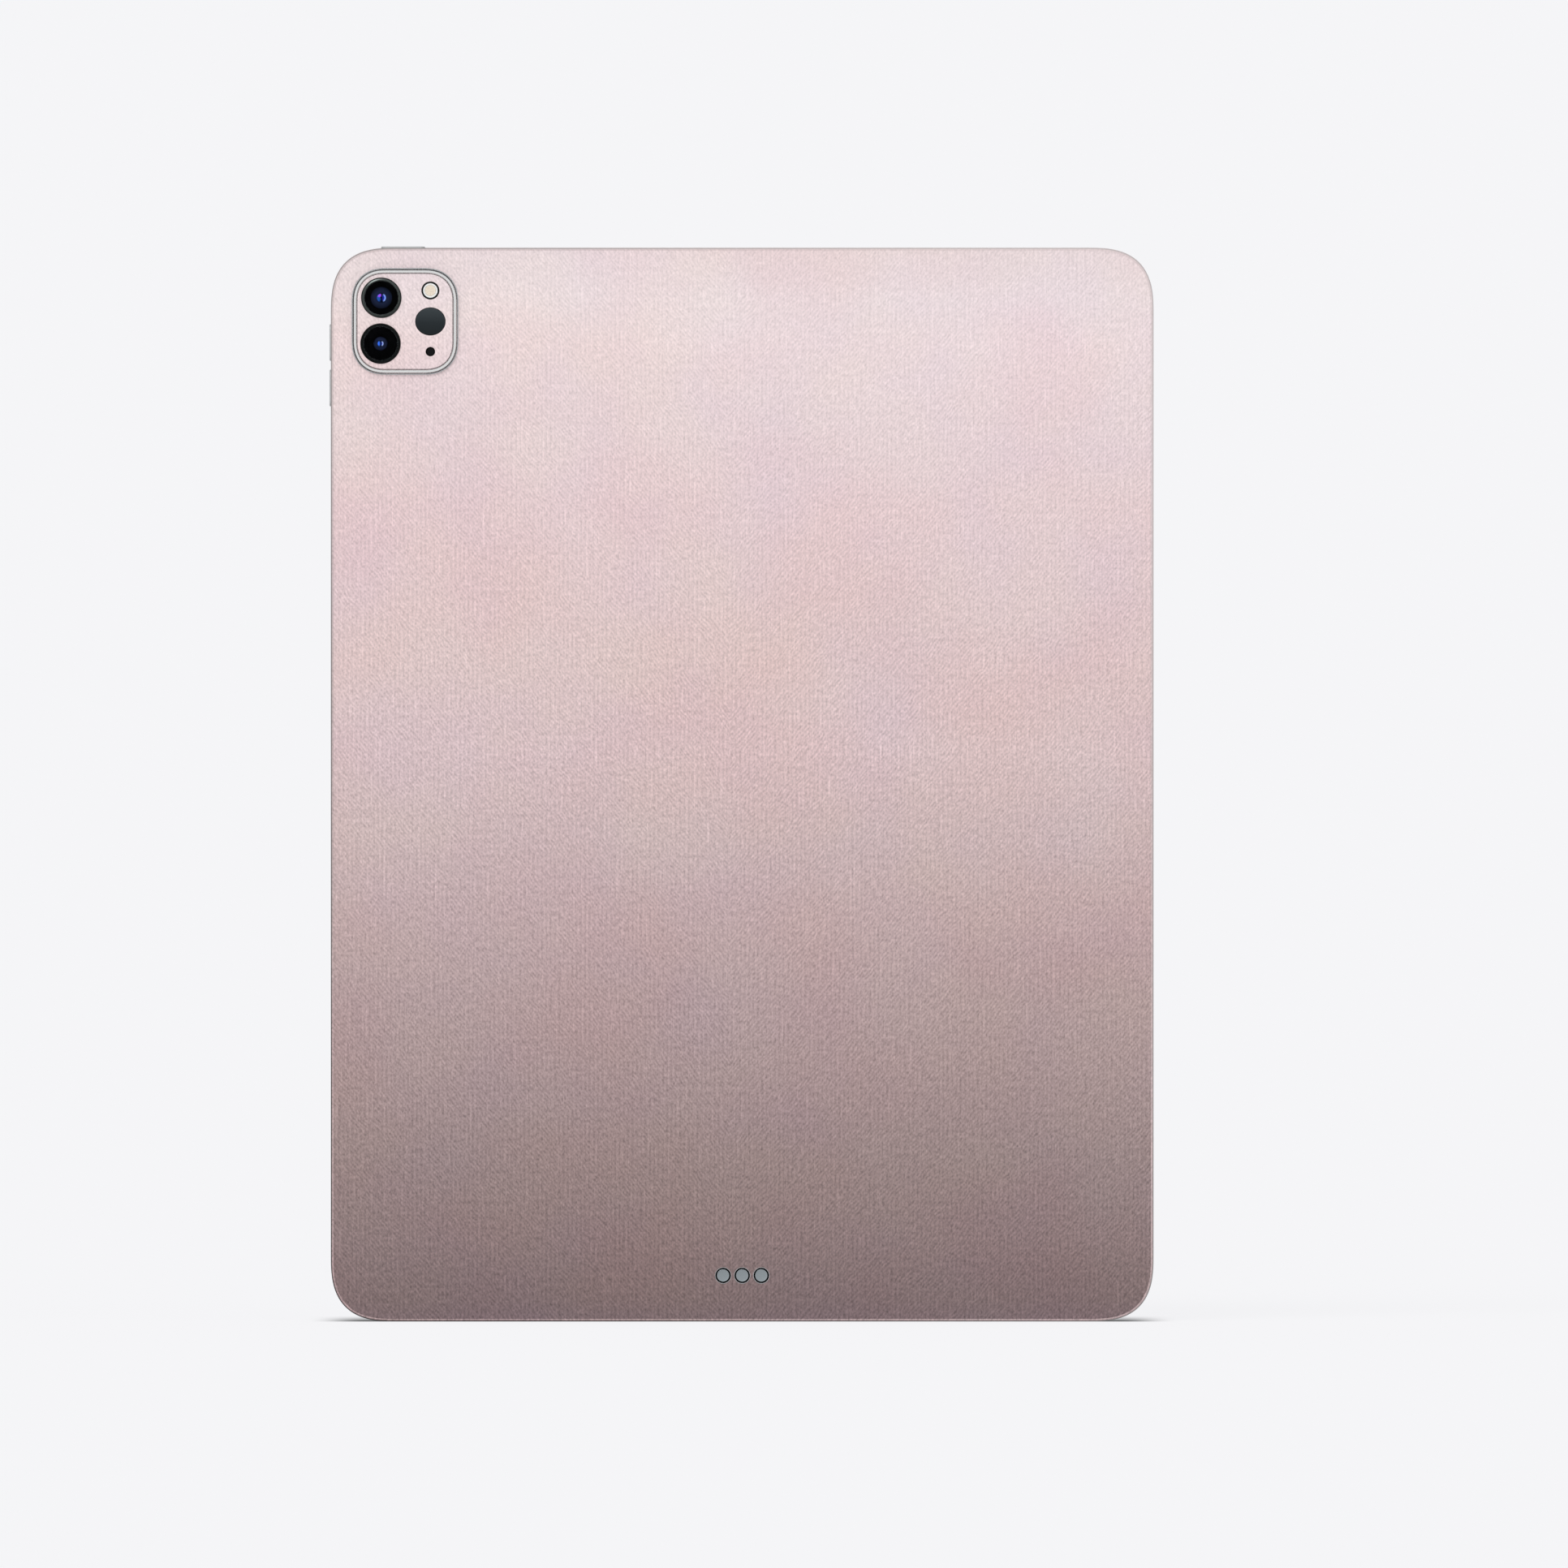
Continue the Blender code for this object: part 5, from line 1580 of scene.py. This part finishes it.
        studs = add(
            tree, "GeometryNodeInstanceOnPoints", facing,
            named={"Instance": facet.outputs["Mesh"], "Rotation": (math.pi / 2, 0.0, math.pi / 4)}
        )
        both = add(tree, "GeometryNodeJoinGeometry")
        tree.links.new(studs.outputs[0], both.inputs[0])
        tree.links.new(given["Geometry"], both.inputs[0])
        end_tree(tree, both, PHOSPHOR)
        run_tree(lens, tree, sizes)

    def build_sensors(self) -> None:
        """Builds the dark distance window and the microphone's gauze."""
        low, high = span("lidar_window")
        at = middle("lidar_window")
        wide = (high.x - low.x) / 2
        tall = (high.z - low.z) / 2
        top = -low.y
        bend = 0.14
        profile = [(0.0, -high.y), (0.0, top - bend)]
        profile += arc(bend, top - bend, bend, 180, 90, 4)[1:]
        frame = upright(at)
        window = shell(
            "distance_window", profile, lambda inset: ellipse(wide - inset, tall - inset), frame
        )
        hand_over(window, ReflectionPaintedGlass(), Duty("lens_glass", ("lidar_window",)))
        at, radius, top, foot = disc("rear_microphone")
        profile = [(0.0, foot), (radius, foot), (radius, top - 0.06)]
        profile += [(radius - 0.06, top), (radius - 0.2, top), (radius - 0.28, top - 0.12)]
        profile += [(0.0, top - 0.16)]
        gauze = turned("microphone_gauze", profile, at, sides=64)
        hand_over(gauze, MESH, Duty("black_plastic", ("rear_microphone",)))


# ------------------------------------------------------------------ edges

BUTTON_SIDES = {
    "power_button": Side.TOP, "volume_up_button": Side.LEFT, "volume_down_button": Side.LEFT
}
BUTTON_LENGTHS = {"power_button": 11.5, "volume_up_button": 9.6, "volume_down_button": 9.6}
BUTTON_BODIES = {
    "power_button": "power_key", "volume_up_button": "volume_up_key",
    "volume_down_button": "volume_down_key"
}
OPENING_SIDES = {"pencil_charging_window": Side.LEFT, "usb_c_tube": Side.BOTTOM}
SPEAKER_NODES = (
    "speaker_top_left", "speaker_top_right", "speaker_bottom_left", "speaker_bottom_right"
)
CONTACT_PINS = ("contact_pin_left", "contact_pin_middle", "contact_pin_right")


@dataclass
class EdgeParts:
    """What shows in the edges: three buttons, the charging window and the port.

    Attributes:
        housing: The housing that they sit in.
        proud: How far a button stands out of the metal, in millimetres.
        bend: Radius of a button's edge.
        width: Width of a button.
        pads: Contacts on each face of the port's tongue.
    """

    housing: Housing
    proud: float = 0.6
    bend: float = 0.25
    width: float = 2.8
    pads: int = 12

    def build(self) -> None:
        """Builds the buttons, the window and the port."""
        for node, side in BUTTON_SIDES.items():
            self.build_button(node, side)
        self.build_window()
        self.build_port()

    def stack(
        self, name: str, levels: Sequence[tuple[float, float, float]], frame: Matrix
    ) -> Object:
        """A shell of slots over each other.

        Args:
            name: Of the object.
            levels: Length, width and height of each slot in millimetres.
            frame: Takes local places to the world.

        Returns:
            The closed shell.
        """
        rings = [
            [frame @ Vector((x, y, height)) * MM for x, y in slot(length, width, 12)]
            for length, width, height in levels
        ]
        return skin(name, rings)

    def build_button(self, node: str, side: Side) -> None:
        """Builds one button: stub, flange and a cap with rounded edges.

        Args:
            node: The CAD button.
            side: The side that it is in.
        """
        length = BUTTON_LENGTHS[node]
        width = self.width
        frame = self.housing.frame_at(node, side)
        levels = [
            (1.6, 1.6, -3.3), (1.6, 1.6, -2.35), (length + 1.2, width - 0.05, -2.35),
            (length + 1.2, width - 0.05, -1.55), (length, width, -1.55)
        ]
        for inset, height in arc(self.bend, self.proud - self.bend, self.bend, 180, 90, 6):
            levels.append((length - 2 * inset, width - 2 * inset, height))
        levels.append((length - 2 * self.bend - 0.5, width - 2 * self.bend - 0.5, self.proud))
        item = self.stack(f"{node}_cap", levels, frame)
        hand_over(item, BUTTON_METAL, Duty("aluminium", (node,), BUTTON_BODIES[node]))

    def build_window(self) -> None:
        """Builds the charging window, flush with the metal."""
        low, high = span("pencil_charging_window")
        length = high.z - low.z
        width = high.y - low.y
        depth = high.x - low.x
        bend = 0.1
        levels = [(length, width, -depth), (length, width, -bend)]
        for inset, height in arc(bend, -bend, bend, 180, 90, 4)[1:]:
            levels.append((length - 2 * inset, width - 2 * inset, height))
        levels.append((length - 1.0, width - 1.0, 0.0))
        frame = self.housing.frame_at("pencil_charging_window", Side.LEFT)
        item = self.stack("charging_window", levels, frame)
        hand_over(item, PALE_PLASTIC, Duty("pale_plastic", ("pencil_charging_window",)))

    def build_port(self) -> None:
        """Builds the port: a drawn steel tube with a rolled mouth, and its tongue."""
        low, high = span("usb_c_tube")
        length = high.x - low.x
        width = high.y - low.y
        frame = self.housing.frame_at("usb_c_tube", Side.BOTTOM)
        mouth = self.housing.low.z - low.z
        end = self.housing.low.z - high.z
        wall = 0.3
        half = wall / 2
        levels = [(length, width, end), (length, width, mouth - half)]
        for inset, height in arc(half, mouth - half, half, 180, 0, 8)[1:]:
            levels.append((length - 2 * inset, width - 2 * inset, height))
        levels.append((length - 2 * wall, width - 2 * wall, end + 0.4))
        tube = self.stack("port_tube", levels, frame)
        hand_over(tube, STEEL, Duty("steel", ("usb_c_tube",)))
        self.build_tongue(frame, length - 2 * wall - 0.1, width - 2 * wall - 0.1, end + 0.45)

    def build_tongue(self, frame: Matrix, length: float, width: float, foot: float) -> None:
        """Builds the tongue and lays its gold contacts with Geometry Nodes.

        Args:
            frame: Takes local places to the world.
            length: Of the block that fills the tube.
            width: Of that block.
            foot: Its inner end, from the metal edge.
        """
        tip = -(span("usb_c_tongue")[0].z - self.housing.low.z)
        levels = [
            (length, width, foot), (length, width, foot + 1.3),
            (length - 0.2, width - 0.2, foot + 1.4), (6.9, 0.9, foot + 1.4), (6.7, 0.7, foot + 1.8),
            (6.7, 0.7, tip - 0.2), (6.5, 0.5, tip)
        ]
        tongue = self.stack("port_tongue", levels, frame)
        hand_over(tongue, BLACK_PLASTIC, Duty("black_plastic", ("usb_c_tongue",)))
        pitch = 0.5
        reach = 3.0
        first = -pitch * (self.pads - 1) / 2
        height = self.housing.low.z - tip + 0.5 + reach / 2
        sizes = {
            "Start": tuple(Vector((first, self.housing.edge_y, height)) * MM), "Pitch": pitch * MM,
            "Pad": tuple(Vector((0.28, 0.05, reach)) * MM), "Thickness": 0.7 * MM,
            "Count": self.pads
        }
        tree = make_tree("lay_port_contacts", sizes, takes_mesh=False)
        given = add(tree, "NodeGroupInput").outputs
        pad = add(tree, "GeometryNodeMeshCube", given["Pad"])
        step = add(tree, "CombineXYZ", given["Pitch"])
        both = add(tree, "GeometryNodeJoinGeometry")
        for sign in (-1.0, 1.0):
            lift = add(tree, "Math MULTIPLY", given["Thickness"], sign * 0.5)
            offset = add(tree, "CombineXYZ", 0.0, lift)
            start = add(tree, "VectorMath ADD", given["Start"], offset)
            line = add(
                tree, "GeometryNodeMeshLine",
                named={"Count": given["Count"], "Start Location": start, "Offset": step}
            )
            row = add(
                tree, "GeometryNodeInstanceOnPoints", line, named={"Instance": pad.outputs["Mesh"]}
            )
            tree.links.new(row.outputs[0], both.inputs[0])
        end_tree(tree, both, GOLD)
        mesh = bpy.data.meshes.new("port_contacts")
        item = bpy.data.objects.new("port_contacts", mesh)
        bpy.context.scene.collection.objects.link(item)
        run_tree(item, tree, sizes)
        hand_over(item, None, Duty("contact_metal"))


@dataclass
class RearContacts:
    """Three flat accessory contacts in one black carrier.

    Attributes:
        collar: Outer radius of the carrier's collar round a contact, in millimetres.
        play: Gap between a contact and its collar.
    """

    collar: float = 1.98
    play: float = 0.05

    def build(self) -> None:
        """Builds the carrier and the contacts."""
        low, high = span("contact_carrier")
        centre = (low + high) / 2
        frame = upright(centre)
        size = high - low
        floor = -span("rear_housing")[0].y - 1.0 - 0.05
        carrier = prism(
            "contact_block", soft_rectangle(size.x, size.z, 0.8, steps=5), -high.y, floor, frame
        )
        top = -low.y
        collars = []
        bores = []
        for node in CONTACT_PINS:
            at = middle(node)
            profile = [(0.0, floor - 0.5), (self.collar, floor - 0.5), (self.collar, top - 0.06)]
            profile += [(self.collar - 0.06, top), (0.0, top)]
            collars.append(turned(f"{node}_collar", profile, at, sides=64))
            pin = (span(node)[1].x - span(node)[0].x) / 2
            bore = [(0.0, -high.y - 1.0), (pin + self.play, -high.y - 1.0)]
            bore += [(pin + self.play, top + 1.0), (0.0, top + 1.0)]
            bores.append(turned(f"{node}_bore", bore, at, sides=64))
        combine(carrier, Way.JOIN, collars)
        combine(carrier, Way.CUT, bores)
        hand_over(carrier, LENS_BLACK, Duty("black_plastic", ("contact_carrier",)))
        for node in CONTACT_PINS:
            self.build_pin(node)

    def build_pin(self, node: str) -> None:
        """Builds one contact: a rounded rim round a shallow dish."""
        at, radius, top, foot = disc(node)
        bend = 0.1
        profile = [(0.0, foot), (radius, foot), (radius, top - bend)]
        for inset, depth in arc(bend, top - bend, bend, 180, 90, 4)[1:]:
            profile.append((radius - inset, depth))
        for share in (0.86, 0.78, 0.6, 0.4, 0.2, 0.0):
            profile.append((radius * share, top - 0.05 * (1 - share**2) - 0.02))
        item = turned(f"{node}_face", profile, at, sides=64)
        hand_over(item, CONTACT_METAL, Duty("contact_metal", (node,)))


@dataclass
class Screen:
    """The front: cover glass with a softly rounded edge over its inked border.

    Attributes:
        housing: The housing whose outline it follows.
        bend: Radius of the glass's front edge in millimetres.
    """

    housing: Housing
    bend: float = 0.45

    def build(self) -> None:
        """Builds the cover glass."""
        low, high = span("front_glass")
        inset = low.x - self.housing.low.x
        top = -high.y
        foot = -low.y
        bend = self.bend
        profile = [(inset, foot), (inset, top + bend)]
        profile += arc(inset + bend, top + bend, bend, 180, 270, 7)[1:]
        item = shell("screen_cover_glass", profile, self.housing.outline, self.housing.frame)
        finish = ScreenGlass(camera_at=middle("front_camera").z)
        hand_over(item, finish, Duty("screen_glass", ("front_glass",)))


# ------------------------------------------------------------------ inside

INSIDE_FINISHES: dict[str, Finish] = {
    "display_gasket": RUBBER, "lcd_cell": DISPLAY, "backlight_unit": ALUMINIUM,
    "front_sensor_bracket": STEEL, "infrared_camera": BLACK_PLASTIC, "front_camera": BLACK_PLASTIC,
    "dot_projector": BLACK_PLASTIC, "camera_cover_plate": BLACK_PLASTIC,
    "flash_module": BLACK_PLASTIC, "lidar_module": BLACK_PLASTIC, "power_switch": STEEL,
    "volume_up_switch": STEEL, "volume_down_switch": STEEL, "pencil_charging_coil": GRAPHITE,
    "speaker_top_left": BLACK_PLASTIC, "speaker_top_right": BLACK_PLASTIC,
    "speaker_bottom_left": BLACK_PLASTIC, "speaker_bottom_right": BLACK_PLASTIC,
    "battery_left": POUCH, "battery_right": POUCH, "logic_board": BOARD, "wireless_shield": STEEL,
    "processor_shield": STEEL, "board_screw_lower": STEEL, "board_screw_upper": STEEL,
    "display_flex": RIBBON, "camera_flex": RIBBON, "magnets_left_lower": STEEL,
    "magnets_left_upper": STEEL, "magnets_right": STEEL, "wifi_antenna": RIBBON
}


def dress_inside(nodes: dict[str, Object]) -> None:
    """Dresses the CAD pieces that stay as they are.

    Args:
        nodes: Every CAD node by name.
    """
    for name, finish in INSIDE_FINISHES.items():
        item = nodes[name]
        item.data.materials.clear()
        item.data.materials.append(finish.material())
        LOG.info("%s wears %s", name, finish.name)


# ------------------------------------------------------------------ studio


@dataclass
class Studio:
    """A plain pale room: an even floor with a painted contact shadow, a soft surround, one soft key
    light and the camera.

    Attributes:
        backdrop: Colour of the room.
        across: Middle of the frame across, in millimetres.
        upwards: Middle of the frame upwards.
        width: Width of the frame.
        elevation: The camera's height above the horizon, in degrees.
        table_matt: How much of its light the table takes from the room.
        table_glow: How much it gives itself. Both together match the room.
        shade: Reach of the painted contact shadow: where it is full and where it ends across, and
            how far it goes behind and before the slab.
        depth: How dark the painted contact shadow is at the slab's foot.
    """

    backdrop: str = "#f5f5f7"
    across: float = 10.94
    upwards: float = 140.7
    width: float = 410.55
    elevation: float = 0.9
    table_matt: tuple[float, float, float] = (0.12, 0.12, 0.12)
    table_glow: tuple[float, float, float] = (0.825, 0.825, 0.8424)
    shade: tuple[float, float, float, float] = (97.0, 115.0, 90.0, 6.0)
    depth: float = 0.95

    def build(self) -> None:
        """Builds the room, the key light and the camera."""
        scene = bpy.context.scene
        scene.view_settings.view_transform = "Standard"
        scene.view_settings.look = "None"
        self.build_world()
        self.build_floor()
        self.build_key()
        self.build_camera()

    def build_world(self) -> None:
        """Lights the room: even to the camera, soft to matt faces, a light tent to gloss."""
        world = bpy.data.worlds.new("soft_room")
        bpy.context.scene.world = world
        world.use_nodes = True
        tree = world.node_tree
        tree.nodes.clear()
        facing = add(tree, "TexCoord").outputs["Generated"]
        split = add(tree, "SeparateXYZ", facing)
        path = add(tree, "LightPath")
        depth = add(tree, "Math ABSOLUTE", split.outputs["Y"])
        panel = add(tree, "Math MULTIPLY", depth, depth)
        front = add(tree, "Math MULTIPLY_ADD", panel, 0.62, 0.37)
        up = add(tree, "Math MULTIPLY_ADD", split.outputs["Z"], 0.28, front)
        soft = add(tree, "Background", None, up)
        tent = add(tree, "ValToRGB", depth)
        ramp(
            tent,
            (
                (0.0, "#303032"), (0.22, "#505052"), (0.50, "#9a9a9c"), (0.78, "#f4f4f4"),
                (0.94, "#ffffff"), (1.0, "#ffffff")
            )
        )
        # A black hood round the lens, 2 degrees wide, so that flat glass reads black
        hood = add(tree, "MapRange", depth, 0.9992, 0.9997, 1.0, 0.01)
        lean = add(tree, "Math MULTIPLY_ADD", split.outputs["X"], -0.15, 1.12)
        lift = add(tree, "Math MULTIPLY_ADD", split.outputs["Z"], 0.45, lean)
        hooded = add(tree, "Math MULTIPLY", lift, hood)
        gloss = add(tree, "Background", tent, hooded)
        even = add(tree, "Background", linear(self.backdrop), 1.0)
        first = add(tree, "MixShader", path.outputs["Is Glossy Ray"], soft, gloss)
        both = add(tree, "MixShader", path.outputs["Is Camera Ray"], first, even)
        add(tree, "OutputWorld", both)

    def build_floor(self) -> None:
        """Lays the floor: an even pale light table, with a thin contact shadow painted into its
        colour.
        """
        half = 30.0
        mesh = bpy.data.meshes.new("studio_floor")
        corners = [(-half, -half, 0), (half, -half, 0), (half, half, 0), (-half, half, 0)]
        mesh.from_pydata(corners, [], [(0, 1, 2, 3)])
        floor = bpy.data.objects.new("studio_floor", mesh)
        bpy.context.scene.collection.objects.link(floor)
        # Opal acrylic, lit from below: an even glow with a little matt surface
        material = bpy.data.materials.new("opal_acrylic_light_table")
        material.use_nodes = True
        tree = material.node_tree
        shader = tree.nodes["Principled BSDF"]
        shader.inputs["Roughness"].default_value = 1.0
        shader.inputs["Specular IOR Level"].default_value = 0.0
        shader.inputs["Emission Strength"].default_value = 1.0
        light = self.painted_contact_shadow(tree)
        for socket, level in (("Base Color", self.table_matt), ("Emission Color", self.table_glow)):
            shaded = add(tree, "VectorMath MULTIPLY", level, light)
            tree.links.new(shaded.outputs[0], shader.inputs[socket])
        mesh.materials.append(material)
        # Polished metal and glass would mirror the table as one flat glare
        floor.visible_glossy = False
        floor.visible_transmission = False

    def painted_contact_shadow(self, tree: NodeTree) -> Node:
        """The soft shadow painted into the table's colour behind the slab's foot.

        Args:
            tree: The table's material.

        Returns:
            A node with the share of light that is left, from 0 to 1.
        """
        place = add(tree, "TexCoord").outputs["Object"]
        split = add(tree, "SeparateXYZ", place)
        out = add(tree, "Math ABSOLUTE", split.outputs["X"])
        near, far, behind, before = (size * MM for size in self.shade)
        across = add(tree, "MapRange", out, far, near, interpolation_type="SMOOTHERSTEP")
        back = add(tree, "MapRange", split.outputs["Y"], behind, 0.0)
        front = add(
            tree, "MapRange", split.outputs["Y"], -before, 0.0, interpolation_type="SMOOTHERSTEP"
        )
        along = add(tree, "Math POWER", back, 1.2)
        both = add(tree, "Math MULTIPLY", along, front)
        shade = add(tree, "Math MULTIPLY", both, across)
        return add(tree, "Math MULTIPLY_ADD", shade, -self.depth, 1.0)

    def build_key(self) -> None:
        """Hangs one large soft light, high in front of the back and a little to the left."""
        lamp = bpy.data.lights.new("key", "SUN")
        lamp.energy = 0.9
        lamp.angle = math.radians(28)
        key = bpy.data.objects.new("key", lamp)
        key.rotation_euler = Vector((0.28, 0.78, -0.62)).to_track_quat("-Z", "Y").to_euler()
        bpy.context.scene.collection.objects.link(key)

    def build_camera(self) -> None:
        """Places the camera square behind the back, a touch above the floor."""
        data = bpy.data.cameras.new("camera")
        data.type = "ORTHO"
        data.ortho_scale = self.width * MM
        data.clip_start = 0.01
        data.clip_end = 60.0
        camera = bpy.data.objects.new("camera", data)
        lift = math.radians(self.elevation)
        away = 6.0
        target = Vector((self.across, 0.0, self.upwards)) * MM
        camera.location = target + Vector((0.0, -math.cos(lift), math.sin(lift))) * away
        camera.rotation_euler = (math.pi / 2 - lift, 0.0, 0.0)
        bpy.context.scene.collection.objects.link(camera)
        bpy.context.scene.camera = camera


def main() -> None:
    """Builds every sub-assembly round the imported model."""
    logging.basicConfig(level=logging.INFO, format="%(message)s")
    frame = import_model()
    housing = Housing()
    housing.build()
    for part in (
        FilmWrap(housing), CameraIsland(), EdgeParts(housing), RearContacts(), Screen(housing)
    ):
        part.build()
        LOG.info("%s is done", type(part).__name__)
    dress_inside(frame["nodes"])
    Studio().build()


if __name__ == "__main__":
    main()
